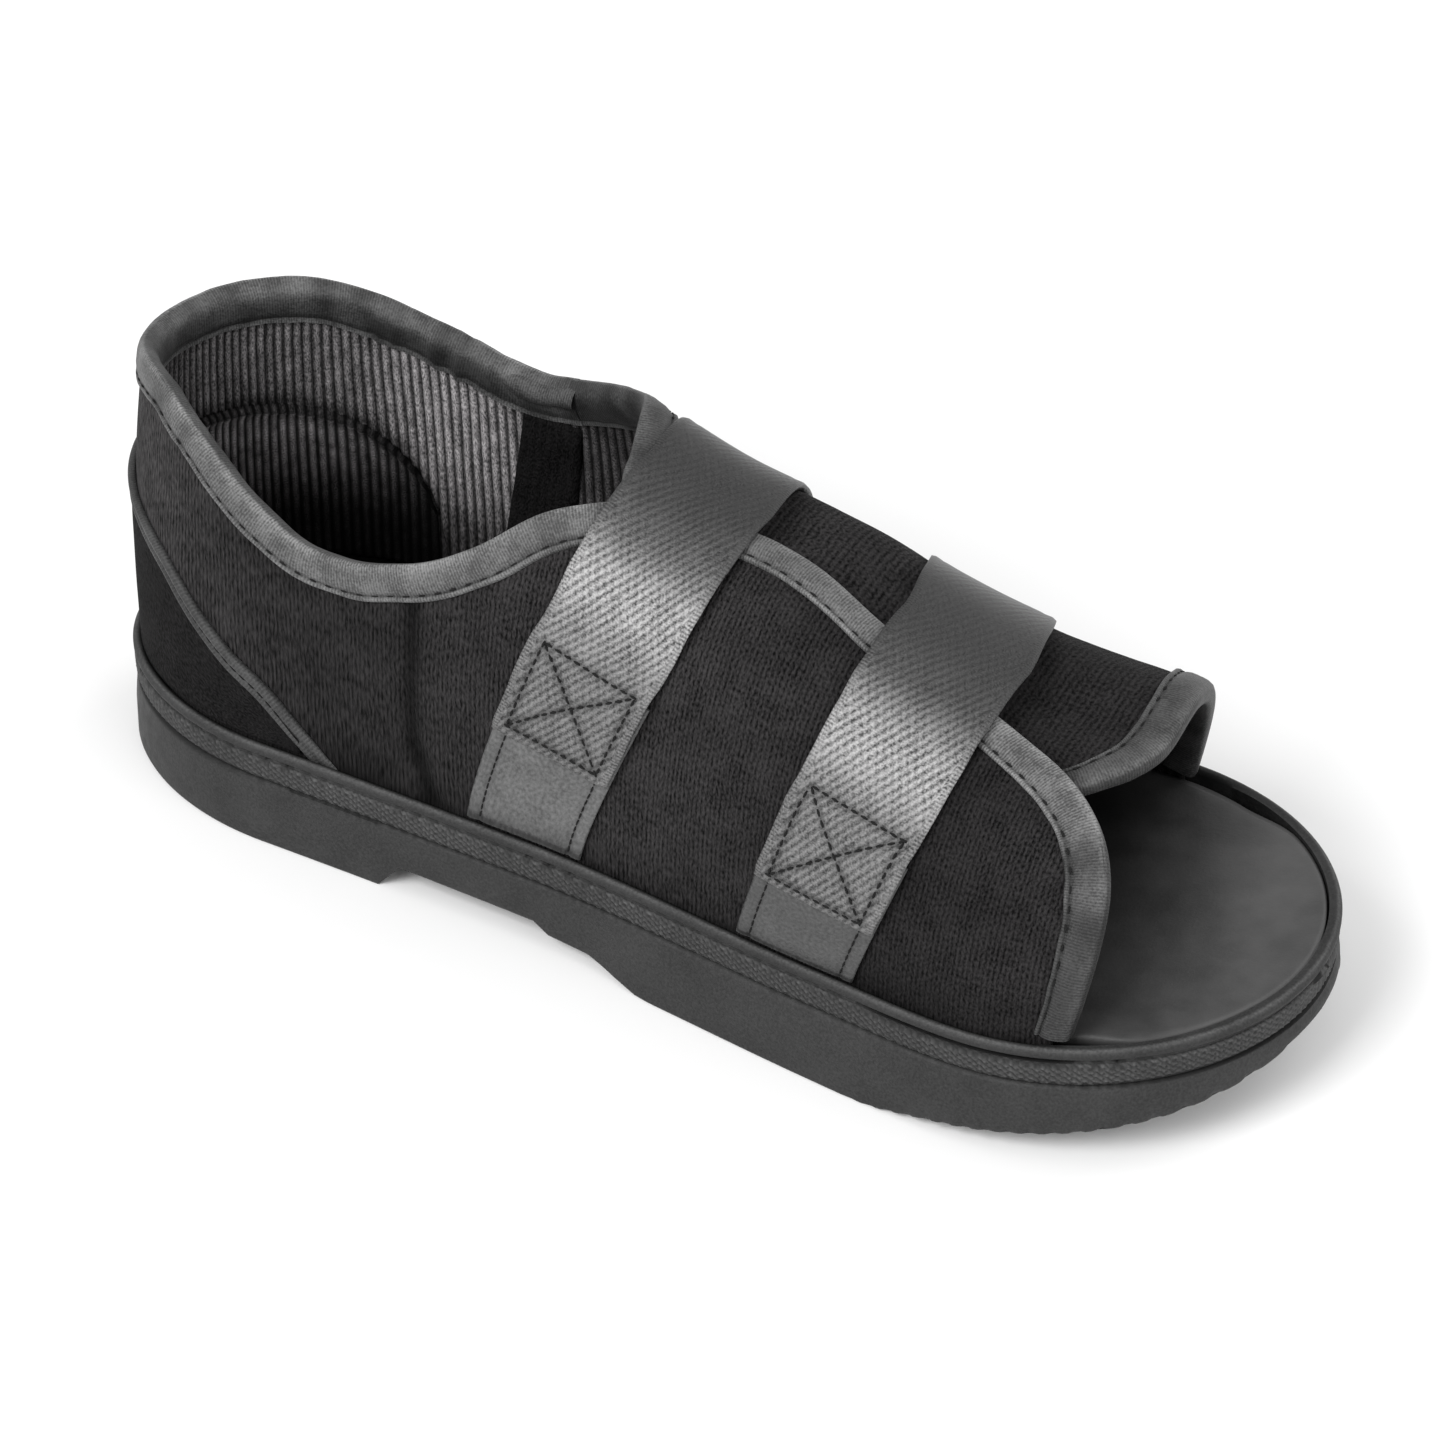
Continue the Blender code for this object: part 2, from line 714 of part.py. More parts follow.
def build_strap(name, at, lean, sweep, tape_from, weave):
    """Webbing strap from its tab over the instep to the far side."""
    start, tab_top, end = 0.15, 0.36, 1.82
    lifts = (
        (start, STRAP_OVER_TAB),
        (tab_top, STRAP_OVER_TAB),
        (tab_top + 0.08, STRAP_LOW),
        (tape_from - 0.10, STRAP_LOW),
        (tape_from, STRAP_OVER_TAPE),
        (1.00, STRAP_OVER_TAPE),
        (1.10, STRAP_OVER_TAPE),
        (1.40, STRAP_LOW),
        (end, STRAP_LOW),
    )
    outer, inner = [], []
    for rise_share in steps(start, end, 30):
        lift = curve(lifts, rise_share)
        row_out, row_in = [], []
        for across in steps(-STRAP_WIDTH / 2, STRAP_WIDTH / 2, 2):
            place = strap_place(at, lean, sweep, across, rise_share)
            row_out.append(skin(place, rise_share, lift + STRAP_THICKNESS))
            row_in.append(skin(place, rise_share, lift))
        outer.append(row_out)
        inner.append(row_in)
    return make_shell(name, outer, inner, weave)


def build_tab(name, at, lean, sweep, satin):
    """Smooth tab from the sole's edge up to the strap's stitched box."""
    low = share_at(place_of(at), FOOT_RISE)
    outer, inner = [], []
    for rise_share in steps(low, 0.36, 7):
        row_out, row_in = [], []
        for across in steps(-STRAP_WIDTH / 2, STRAP_WIDTH / 2, 2):
            place = strap_place(at, lean, sweep, across, rise_share)
            row_out.append(skin(place, rise_share, CLEARANCE + TAB_THICKNESS))
            row_in.append(skin(place, rise_share, CLEARANCE))
        outer.append(row_out)
        inner.append(row_in)
    return make_shell(name, outer, inner, satin)


def main():
    """Build every piece of the shoe."""
    clear_scene()
    rubber = finish("sole_rubber", (0.045, 0.045, 0.047), 0.6)
    foam = finish("insole_cover", (0.02, 0.02, 0.021), 0.5)
    fabric = finish("upper_fabric", (0.018, 0.018, 0.019), 0.9)
    tape = finish("binding_tape", (0.075, 0.075, 0.078), 0.55)
    weave = finish("strap_webbing", (0.13, 0.13, 0.135), 0.5)
    satin = finish("tab_satin", (0.07, 0.07, 0.073), 0.35)
    build_outsole(rubber)
    build_insole(foam)
    build_upper(fabric)
    build_counter(fabric)
    build_bindings(tape)
    build_strap("rear_strap", REAR_STRAP_AT, REAR_STRAP_LEAN, REAR_STRAP_SWEEP, 0.60, weave)
    build_strap("front_strap", FRONT_STRAP_AT, FRONT_STRAP_LEAN, FRONT_STRAP_SWEEP, 0.76, weave)
    build_tab("rear_strap_tab", REAR_STRAP_AT, REAR_STRAP_LEAN, REAR_STRAP_SWEEP, satin)
    build_tab("front_strap_tab", FRONT_STRAP_AT, FRONT_STRAP_LEAN, FRONT_STRAP_SWEEP, satin)


main()
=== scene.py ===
"""Looks of an open-toe post-operative shoe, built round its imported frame.

Every piece is worked out on the same form as the solids: a rubber rocker sole, an insole, a
wrap-over upper of ribbed cloth with bound edges, a heel counter and two webbing straps on
satin tabs. The toe points to +X, and the sewn ends of the straps are on the -Y side.
A spot on the upper is given by its place, the signed way along the sole's edge from the middle
of the heel (near side negative), and its share of the way from the sole's edge (0) to the
ridge (1), and past the ridge to the other side's edge (2).
"""

import logging
import math
from bisect import bisect_right
from collections.abc import Callable, Sequence
from dataclasses import dataclass, field
from enum import Enum
from functools import cached_property

import bmesh
import bpy
from mathutils import Matrix, Vector, noise

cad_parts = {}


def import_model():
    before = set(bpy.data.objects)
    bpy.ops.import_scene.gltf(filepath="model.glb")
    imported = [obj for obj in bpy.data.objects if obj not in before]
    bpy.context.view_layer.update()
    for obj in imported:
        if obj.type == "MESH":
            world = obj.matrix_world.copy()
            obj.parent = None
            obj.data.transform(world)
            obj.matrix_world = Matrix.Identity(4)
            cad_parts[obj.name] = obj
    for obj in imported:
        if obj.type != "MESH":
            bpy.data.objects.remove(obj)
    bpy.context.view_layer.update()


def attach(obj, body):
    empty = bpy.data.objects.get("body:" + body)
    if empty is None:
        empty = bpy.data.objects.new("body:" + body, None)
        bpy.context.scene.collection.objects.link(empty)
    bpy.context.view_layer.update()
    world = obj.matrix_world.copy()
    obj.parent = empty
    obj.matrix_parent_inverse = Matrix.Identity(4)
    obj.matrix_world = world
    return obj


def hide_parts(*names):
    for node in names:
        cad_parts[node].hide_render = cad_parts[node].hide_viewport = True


MM = 0.001
BODY = "root"
CLOTH_MAP = "cloth"
# name of the mesh attribute that carries painted light and shade
SHADE = "shade"
LOG = logging.getLogger("shoe")

# about the way over the cloth from the sole's edge to the ridge
RISE = 75 * MM
# about half the way across the sole
HALF_SOLE = 40 * MM

Spot = tuple[float, float]
Rows = tuple[Spot, ...]
Socket = bpy.types.NodeSocket


class Side(Enum):
    """The two sides of the shoe, as the sign of a place on them."""

    NEAR = -1
    FAR = 1


def steps(start: float, stop: float, count: int) -> list[float]:
    """Even steps from start to stop, count + 1 of them."""
    return [start + (stop - start) * i / count for i in range(count + 1)]


def ramp(start: float, stop: float, at: float) -> float:
    """Rise smoothly from 0 at start to 1 at stop."""
    t = min(1.0, max(0.0, (at - start) / (stop - start)))
    return t * t * (3 - 2 * t)


def hump(distance: float, width: float) -> float:
    """A soft round hump, 1 in its middle."""
    return math.exp(-((distance / width) ** 2))


def roll(point: Vector, wavelength: float, seed: float = 0.0) -> float:
    """Slow seeded unevenness between -1 and 1."""
    return noise.noise(point / wavelength + Vector((seed, seed * 1.7, seed * 0.3)))


@dataclass(frozen=True)
class Curve:
    """Smooth curve through rows of (place, value) that never overshoots them."""

    rows: Rows

    @cached_property
    def slopes(self) -> list[float]:
        """Slope of the curve at each row."""
        rises = [(b[1] - a[1]) / (b[0] - a[0]) for a, b in zip(self.rows, self.rows[1:])]
        inner = [2 * a * b / (a + b) if a * b > 0 else 0.0 for a, b in zip(rises, rises[1:])]
        return [rises[0], *inner, rises[-1]]

    @cached_property
    def places(self) -> list[float]:
        """Places of the rows."""
        return [row[0] for row in self.rows]

    def at(self, place: float) -> float:
        """Value of the curve at a place."""
        if place <= self.rows[0][0]:
            return self.rows[0][1]
        if place >= self.rows[-1][0]:
            return self.rows[-1][1]
        low = bisect_right(self.places, place) - 1
        span = self.rows[low + 1][0] - self.rows[low][0]
        t = (place - self.rows[low][0]) / span
        return (
            (2 * t**3 - 3 * t**2 + 1) * self.rows[low][1]
            + (t**3 - 2 * t**2 + t) * span * self.slopes[low]
            + (3 * t**2 - 2 * t**3) * self.rows[low + 1][1]
            + (t**3 - t**2) * span * self.slopes[low + 1]
        )


@dataclass(frozen=True)
class Form:
    """The last that the sole and the upper share, with its driving sizes in metres."""

    length: float = 275 * MM
    heel_half: float = 39.5 * MM
    waist_half: float = 40.4 * MM
    ball_half: float = 47.3 * MM
    toe_half: float = 50.2 * MM
    heel_cap: float = 52.4 * MM
    toe_cap: float = 54.4 * MM
    rim_height: float = 25.2 * MM
    toe_lift: float = 5.3 * MM
    toe_lift_from: float = 0.6
    seat_inset: float = 3.0 * MM
    instep: float = 98 * MM
    wall: float = 2.2 * MM
    flap_drop: float = 4.85 * MM
    tray_depth: float = 6.0 * MM
    ridge: Curve = Curve((
        (0.100, 1.531), (0.191, 1.531), (0.255, 1.449), (0.305, 1.327), (0.356, 1.173),
        (0.411, 1.061), (0.455, 1.000), (0.498, 0.958), (0.545, 0.934), (0.600, 0.896),
        (0.655, 0.826), (0.709, 0.777), (0.745, 0.751), (0.800, 0.733), (0.873, 0.733),
    ))
    fullness: Curve = Curve(((0.19, 2.50), (0.44, 2.50), (0.58, 2.30), (0.87, 2.15)))
    near_edge: Curve = Curve((
        (-0.100, 0.320), (0.000, 0.320), (0.147, 0.350), (0.212, 0.310), (0.272, 0.245),
        (0.306, 0.225), (0.340, 0.235), (0.390, 0.295), (0.448, 0.450), (0.500, 0.690),
        (0.565, 0.900), (0.640, 0.955), (0.721, 0.930), (0.781, 0.895), (0.834, 0.855),
        (0.880, 0.800), (0.916, 0.720), (0.942, 0.605),
    ))
    far_edge: Curve = Curve((
        (-0.100, 0.320), (0.000, 0.320), (0.143, 0.325), (0.221, 0.305), (0.274, 0.285),
        (0.325, 0.285), (0.362, 0.305), (0.395, 0.360), (0.424, 0.440), (0.470, 0.600),
        (0.490, 0.740), (0.513, 1.000), (0.535, 1.180), (0.575, 1.250), (0.889, 1.250),
    ))
    near_front: Curve = Curve((
        (0.000, 1.4 * MM), (0.190, 3.8 * MM), (0.310, 4.2 * MM),
        (0.460, 3.4 * MM), (0.540, 2.3 * MM), (0.605, 0.0),
    ))
    far_front: Curve = Curve((
        (0.000, 2.5 * MM), (0.300, 7.0 * MM), (0.550, 10.6 * MM), (0.800, 13.3 * MM),
        (1.000, 13.5 * MM), (1.090, 10.8 * MM), (1.180, 5.5 * MM), (1.250, 0.0),
    ))

    @cached_property
    def widths(self) -> Curve:
        """Half width of the outline along its straight part."""
        return Curve((
            (0.0, self.heel_half),
            (self.heel_cap, self.heel_half),
            (0.42 * self.length, self.waist_half),
            (0.683 * self.length, self.ball_half),
            (self.toe_start, self.toe_half),
            (self.length, self.toe_half),
        ))

    @cached_property
    def toe_start(self) -> float:
        """Section at which the rounded toe begins."""
        return self.length - self.toe_cap

    @cached_property
    def heel_arc(self) -> float:
        """Way round a quarter of the heel."""
        return math.pi / 2 * math.hypot(self.heel_cap, self.heel_half) / math.sqrt(2)

    @cached_property
    def toe_arc(self) -> float:
        """Way round a quarter of the toe."""
        return math.pi / 2 * math.hypot(self.toe_cap, self.toe_half) / math.sqrt(2)

    @cached_property
    def path_end(self) -> float:
        """Way along the edge from the middle of the heel to the tip of the toe."""
        return self.heel_arc + self.toe_start - self.heel_cap + self.toe_arc

    def place_of(self, x: float) -> float:
        """Way along the edge for a section x from the heel."""
        return self.heel_arc + x - self.heel_cap

    def half_width(self, x: float, inset: float) -> float:
        """Half width at x from the heel, the outline shrunk by inset."""
        if x < self.heel_cap:
            back = (self.heel_cap - x) / (self.heel_cap - inset)
            return (self.heel_half - inset) * math.sqrt(max(0.0, 1 - back * back))
        if x > self.toe_start:
            ahead = (x - self.toe_start) / (self.toe_cap - inset)
            return (self.toe_half - inset) * math.sqrt(max(0.0, 1 - ahead * ahead))
        return self.widths.at(x) - inset

    def outline(self, place: float, inset: float) -> Spot:
        """Section and signed half width of a point on the outline."""
        along = abs(place)
        side = math.copysign(1.0, place)
        if along <= self.heel_arc:
            turn = along / self.heel_arc * math.pi / 2
            x = self.heel_cap - (self.heel_cap - inset) * math.cos(turn)
            return x, side * (self.heel_half - inset) * math.sin(turn)
        if along <= self.path_end - self.toe_arc:
            x = self.heel_cap + along - self.heel_arc
            return x, side * self.half_width(x, inset)
        turn = (self.path_end - along) / self.toe_arc * math.pi / 2
        x = self.toe_start + (self.toe_cap - inset) * math.cos(turn)
        return x, side * (self.toe_half - inset) * math.sin(turn)

    def rim(self, x: float) -> float:
        """Height of the sole's top edge."""
        rise = max(0.0, x / self.length - self.toe_lift_from) / (1 - self.toe_lift_from)
        return self.rim_height + self.toe_lift * rise * rise

    def top(self, x: float) -> float:
        """Height of the ridge above the floor."""
        return self.instep * self.ridge.at(max(x, self.heel_cap) / self.length)

    def skin(self, place: float, share: float, out: float = 0.0) -> Vector:
        """Point of the upper's outer face, moved outwards by out."""
        along = abs(place)
        side = math.copysign(1.0, place)
        x = self.heel_cap + max(0.0, along - self.heel_arc)
        turn = share * math.pi / 2
        power = 2 / self.fullness.at(x / self.length)
        width = math.copysign(abs(math.cos(turn)) ** power, math.cos(turn))
        foot = self.rim(x)
        z = foot + (self.top(x) - foot + out) * abs(math.sin(turn)) ** power
        if along <= self.heel_arc:
            round_heel = along / self.heel_arc * math.pi / 2
            reach = self.heel_cap - self.seat_inset + out
            x = self.heel_cap - reach * math.cos(round_heel) * width
            y = (self.heel_half - self.seat_inset + out) * math.sin(round_heel) * width
        else:
            y = (self.half_width(x, self.seat_inset) + out) * width
        return Vector((x - self.length / 2, side * y, z))

    def wrap(self, place: float, share: float, out: float = 0.0) -> Vector:
        """Like skin, with the far flap lowered where it passes under the near flap."""
        drop = self.flap_drop * ramp(0.72, 1.0, share) if place > 0 else 0.0
        return self.skin(place, share, out - drop)

    def share_at(self, place: float, rise: float) -> float:
        """Share at which the upper stands rise above the sole's edge."""
        x = max(self.heel_cap, self.heel_cap + abs(place) - self.heel_arc)
        power = self.fullness.at(x / self.length) / 2
        level = min(1.0, max(0.0, rise) / (self.top(x) - self.rim(x)))
        return math.asin(level**power) * 2 / math.pi

    def corner(self, side: Side) -> float:
        """Section at which a side's top edge meets its front edge."""
        edge = self.near_edge if side is Side.NEAR else self.far_edge
        return self.heel_cap + edge.rows[-1][0] * self.length - self.heel_arc

    def top_share(self, place: float) -> float:
        """Share of the upper's top edge."""
        edge = self.near_edge if place < 0 else self.far_edge
        return edge.at(abs(place) / self.length)

    def front_place(self, side: Side, share: float) -> float:
        """Place at which a flap's front edge stands."""
        front = self.near_front if side is Side.NEAR else self.far_front
        return side.value * self.place_of(self.corner(side) + front.at(share))


FORM = Form()


class Wiring:
    """Adds nodes to one material and joins them."""

    def __init__(self, name: str) -> None:
        """Start a material with a plain shader."""
        self.material = bpy.data.materials.new(name)
        self.material.use_nodes = True
        self.tree = self.material.node_tree
        self.shader = self.tree.nodes["Principled BSDF"]

    def put(self, **values: float | tuple[float, ...]) -> None:
        """Set constant values on the shader, its sockets named with underscores."""
        for name, value in values.items():
            self.shader.inputs[name.replace("_", " ")].default_value = value

    def node(self, kind: str, inputs: dict, **settings: str) -> bpy.types.Node:
        """Add a node.

        Args:
            kind: Blender's name of the node.
            inputs: value or output socket for each input, by name or number.
            settings: properties of the node.

        Returns:
            The node.
        """
        new = self.tree.nodes.new(kind)
        for name, value in settings.items():
            setattr(new, name, value)
        for name, value in inputs.items():
            if isinstance(value, Socket):
                self.tree.links.new(value, new.inputs[name])
            else:
                new.inputs[name].default_value = value
        return new

    def sum(self, operation: str, *values: float | Socket) -> Socket:
        """One step of arithmetic."""
        inputs = dict(enumerate(values))
        return self.node("ShaderNodeMath", inputs, operation=operation).outputs[0]

    def wave(self, along: Socket, pitch: float) -> Socket:
        """Sine wave of a real pitch along a coordinate, between -1 and 1."""
        return self.sum("SINE", self.sum("MULTIPLY", along, 2 * math.pi / pitch))

    def grain(self, vector: Socket, size: float, detail: float = 2.0) -> Socket:
        """Noise between 0 and 1 whose blobs are about size across."""
        inputs = {"Vector": vector, "Scale": 1 / size, "Detail": detail}
        return self.node("ShaderNodeTexNoise", inputs).outputs["Fac"]

    def stretch(self, vector: Socket, scale: tuple[float, float, float]) -> Socket:
        """Coordinates stretched by a scale."""
        return self.node("ShaderNodeMapping", {"Vector": vector, "Scale": scale}).outputs[0]

    def place(self) -> Socket:
        """Place on the object, in metres."""
        return self.node("ShaderNodeTexCoord", {}).outputs["Object"]

    def cloth(self) -> Socket:
        """Place on the cloth, in metres along and across it."""
        return self.node("ShaderNodeUVMap", {}, uv_map=CLOTH_MAP).outputs[0]

    def along_and_up(self, vector: Socket) -> tuple[Socket, Socket]:
        """The first two coordinates of a vector."""
        split = self.node("ShaderNodeSeparateXYZ", {0: vector})
        return split.outputs[0], split.outputs[1]

    def between(self, factor: Socket, low: tuple, high: tuple) -> Socket:
        """Colour between two, by a factor from 0 to 1."""
        inputs = {0: factor, 6: (*low, 1.0), 7: (*high, 1.0)}
        return self.node("ShaderNodeMix", inputs, data_type="RGBA").outputs[2]

    def range(self, value: Socket, low: float, high: float, to_low: float, to_high: float) -> Socket:
        """Carry one range over to another, clamped."""
        inputs = {0: value, 1: low, 2: high, 3: to_low, 4: to_high}
        return self.node("ShaderNodeMapRange", inputs).outputs[0]

    def colour(self, socket: Socket) -> None:
        """Feed the shader's base colour, darkened or brightened by the mesh's own shade, which carries
        painted light and shade.
        """
        shade = self.node("ShaderNodeAttribute", {}, attribute_name=SHADE).outputs["Fac"]
        toned = self.node("ShaderNodeVectorMath", {0: socket, 1: shade}, operation="MULTIPLY")
        self.tree.links.new(toned.outputs[0], self.shader.inputs["Base Color"])

    def plain_colour(self, socket: Socket) -> None:
        """Feed the shader's base colour as it is."""
        self.tree.links.new(socket, self.shader.inputs["Base Color"])

    def roughness(self, socket: Socket) -> None:
        """Feed the shader's roughness."""
        self.tree.links.new(socket, self.shader.inputs["Roughness"])

    def relief(self, height: Socket, depth: float) -> None:
        """Feed the shader's normal from a height between 0 and 1, depth deep."""
        inputs = {"Height": height, "Distance": depth, "Strength": 1.0}
        bump = self.node("ShaderNodeBump", inputs)
        self.tree.links.new(bump.outputs[0], self.shader.inputs["Normal"])


@dataclass(frozen=True)
class RibbedCloth:
    """Brushed knit with ribs that run up the shoe."""

    name: str
    slot: str = "upper_fabric"
    dark: float = 0.0010
    light: float = 0.029
    pitch: float = 1.05 * MM
    depth: float = 0.30 * MM
    rib_weight: float = 0.27
    fibre_weight: float = 0.72
    fibre: float = 0.44 * MM
    fibre_stretch: float = 0.55
    wander: float = 0.6 * MM
    sheen: float = 0.018

    def material(self) -> bpy.types.Material:
        """Build the cloth: ribs that wander, fibres along them, and a mottled nap."""
        w = Wiring(self.name)
        cloth = w.cloth()
        along, _ = w.along_and_up(cloth)
        wander = w.sum("MULTIPLY", w.grain(cloth, 9 * MM), self.wander)
        rib = w.wave(w.sum("ADD", along, wander), self.pitch)
        fibres = w.grain(w.stretch(cloth, (1.0, self.fibre_stretch, 1.0)), self.fibre, 4.0)
        nap = w.grain(w.place(), 5.0 * MM, 3.0)
        ribs = w.sum("MULTIPLY", w.range(rib, -1, 1, 0, 1), self.rib_weight)
        thread = w.sum("MULTIPLY", w.range(fibres, 0.28, 0.72, 0, 1), self.fibre_weight)
        height = w.sum("ADD", ribs, thread)
        tone = w.sum("ADD", height, w.range(nap, 0.3, 0.7, -0.10, 0.10))
        low = (self.dark, self.dark, self.dark)
        high = (self.light * 1.03, self.light * 0.98, self.light)
        w.colour(w.between(w.range(tone, 0.15, 0.80, 0, 1), low, high))
        w.relief(height, self.depth)
        w.put(Roughness=0.95, Sheen_Weight=self.sheen, Sheen_Roughness=0.45)
        w.put(Specular_IOR_Level=0.08)
        return w.material


@dataclass(frozen=True)
class TapeCloth:
    """Satin edge tape with a fine cross rib."""

    name: str
    slot: str = "binding_tape"
    dark: float = 0.030
    light: float = 0.125
    pitch: float = 0.62 * MM
    depth: float = 0.12 * MM
    roughness: float = 0.58

    def material(self) -> bpy.types.Material:
        """Build the tape: cross ribs, fine thread grain and soft uneven tone."""
        w = Wiring(self.name)
        cloth = w.cloth()
        along, _ = w.along_and_up(cloth)
        wander = w.sum("MULTIPLY", w.grain(cloth, 3 * MM), 0.25 * MM)
        rib = w.range(w.wave(w.sum("ADD", along, wander), self.pitch), -1, 1, 0, 1)
        grain = w.range(w.grain(w.place(), 0.50 * MM, 3.0), 0.3, 0.7, 0, 1)
        cloud = w.grain(w.place(), 7.0 * MM, 2.0)
        height = w.sum("ADD", w.sum("MULTIPLY", rib, 0.38), w.sum("MULTIPLY", grain, 0.62))
        tone = w.sum("ADD", height, w.range(cloud, 0.3, 0.7, -0.25, 0.25))
        low = (self.dark, self.dark, self.dark)
        high = (self.light, self.light, self.light)
        w.colour(w.between(w.range(tone, 0.15, 0.95, 0, 1), low, high))
        w.relief(height, self.depth)
        w.put(Roughness=self.roughness, Sheen_Weight=0.04, Sheen_Roughness=0.35)
        w.put(Specular_IOR_Level=0.35)
        return w.material


@dataclass(frozen=True)
class Webbing:
    """Grey twill webbing, with a cross-ribbed selvedge."""

    name: str
    half: float
    slot: str = "strap_webbing"
    dark: float = 0.004
    light: float = 0.162
    pitch: float = 1.75 * MM
    slant: float = 0.58
    selvedge: float = 1.7 * MM
    depth: float = 0.24 * MM

    def material(self) -> bpy.types.Material:
        """Build the webbing: crossing twill lines in the middle, cross ribs at the sides."""
        w = Wiring(self.name)
        cloth = w.cloth()
        along, across = w.along_and_up(cloth)
        loose = w.sum("MULTIPLY", w.grain(cloth, 1.3 * MM, 2.0), 0.75 * MM)
        steep = w.sum("ADD", w.sum("MULTIPLY", along, self.slant), loose)
        one = w.wave(w.sum("SUBTRACT", across, steep), self.pitch)
        two = w.wave(w.sum("ADD", across, steep), self.pitch)
        twill = w.sum("ADD", w.sum("MULTIPLY", one, 0.68), w.sum("MULTIPLY", two, 0.24))
        weave = w.range(twill, -0.9, 0.9, 0, 1)
        edge_rib = w.range(w.wave(along, 0.75 * MM), -1, 1, 0.25, 0.75)
        reach = w.sum("ABSOLUTE", across)
        at_edge = w.range(reach, self.half - self.selvedge, self.half - 0.85 * self.selvedge, 0, 1)
        mix = self._mix(w, at_edge, weave, edge_rib)
        grain = w.range(w.grain(w.place(), 0.42 * MM, 3.0), 0.3, 0.7, 0, 1)
        height = w.sum("ADD", w.sum("MULTIPLY", mix, 0.50), w.sum("MULTIPLY", grain, 0.52))
        cloud = w.range(w.grain(w.place(), 6.0 * MM, 2.0), 0.3, 0.7, -0.08, 0.08)
        low = (self.dark, self.dark, self.dark * 1.02)
        high = (self.light * 1.01, self.light, self.light)
        tone = w.range(w.sum("ADD", height, cloud), 0.15, 0.85, 0, 1)
        w.colour(w.between(tone, low, high))
        w.relief(height, self.depth)
        w.put(Roughness=0.38, Sheen_Weight=0.03, Sheen_Roughness=0.35, Specular_IOR_Level=0.5)
        return w.material

    @staticmethod
    def _mix(w: Wiring, factor: Socket, low: Socket, high: Socket) -> Socket:
        """Value between two others."""
        gap = w.sum("MULTIPLY", factor, w.sum("SUBTRACT", high, low))
        return w.sum("ADD", low, gap)


@dataclass(frozen=True)
class Satin:
    """Smooth satin of the tabs, with a faint cross grain."""

    name: str
    slot: str = "tab_satin"
    dark: float = 0.030
    light: float = 0.125

    def material(self) -> bpy.types.Material:
        """Build the satin: fine grain across the tab and a soft sheen."""
        w = Wiring(self.name)
        cloth = w.cloth()
        fine = w.grain(w.stretch(cloth, (1.0, 0.6, 1.0)), 0.50 * MM, 3.0)
        cloud = w.grain(w.place(), 6.0 * MM, 2.0)
        tone = w.sum("ADD", w.sum("MULTIPLY", fine, 0.85), w.sum("MULTIPLY", cloud, 0.35))
        low = (self.dark, self.dark, self.dark)
        high = (self.light, self.light, self.light)
        w.colour(w.between(w.range(tone, 0.40, 0.80, 0, 1), low, high))
        w.relief(fine, 0.22 * MM)
        w.put(Roughness=0.42, Sheen_Weight=0.05, Sheen_Roughness=0.3, Specular_IOR_Level=0.6)
        return w.material


@dataclass(frozen=True)
class Rubber:
    """Matte moulded rubber with a dry, slightly dusty face."""

    name: str
    slot: str = "sole_rubber"
    dark: float = 0.0095
    light: float = 0.0265

    def material(self) -> bpy.types.Material:
        """Build the rubber: fine pores, cloudy tone and rubbed patches."""
        w = Wiring(self.name)
        place = w.place()
        pores = w.grain(place, 0.55 * MM, 3.0)
        cloud = w.grain(place, 14.0 * MM, 3.0)
        rubbed = w.grain(place, 3.2 * MM, 4.0)
        tone = w.sum("ADD", w.sum("MULTIPLY", cloud, 0.55), w.sum("MULTIPLY", rubbed, 0.25))
        speckle = w.range(pores, 0.3, 0.7, -0.10, 0.30)
        low = (self.dark, self.dark, self.dark)
        high = (self.light, self.light, self.light)
        w.colour(w.between(w.range(w.sum("ADD", tone, speckle), 0.28, 0.72, 0, 1), low, high))
        w.roughness(w.range(rubbed, 0.3, 0.7, 0.56, 0.72))
        w.relief(pores, 0.07 * MM)
        w.put(Specular_IOR_Level=0.35)
        return w.material


@dataclass(frozen=True)
class FootbedCover:
    """Smooth dark foam cover with a soft sheen and faint mottling."""

    name: str
    slot: str = "insole_cover"
    dark: float = 0.039
    light: float = 0.064

    def material(self) -> bpy.types.Material:
        """Build the cover: fine skin grain and cloudy tone."""
        w = Wiring(self.name)
        place = w.place()
        skin = w.grain(place, 0.8 * MM, 3.0)
        cloud = w.grain(place, 11.0 * MM, 4.0)
        low = (self.dark, self.dark, self.dark)
        high = (self.light, self.light * 0.99, self.light * 0.99)
        w.colour(w.between(w.range(cloud, 0.3, 0.7, 0, 1), low, high))
        w.roughness(w.range(cloud, 0.3, 0.7, 0.42, 0.56))
        w.relief(skin, 0.05 * MM)
        w.put(Specular_IOR_Level=0.28)
        return w.material


@dataclass(frozen=True)
class Thread:
    """Dark sewing thread."""

    name: str
    slot: str = "binding_tape"
    tone: float = 0.006

    def material(self) -> bpy.types.Material:
        """Build the thread: a fine twist."""
        w = Wiring(self.name)
        twist = w.grain(w.place(), 0.25 * MM, 2.0)
        low = (self.tone * 0.6,) * 3
        high = (self.tone * 1.6,) * 3
        w.plain_colour(w.between(twist, low, high))
        w.relief(twist, 0.05 * MM)
        w.put(Roughness=0.8, Specular_IOR_Level=0.2)
        return w.material


Finish = RibbedCloth | TapeCloth | Webbing | Satin | Rubber | FootbedCover | Thread


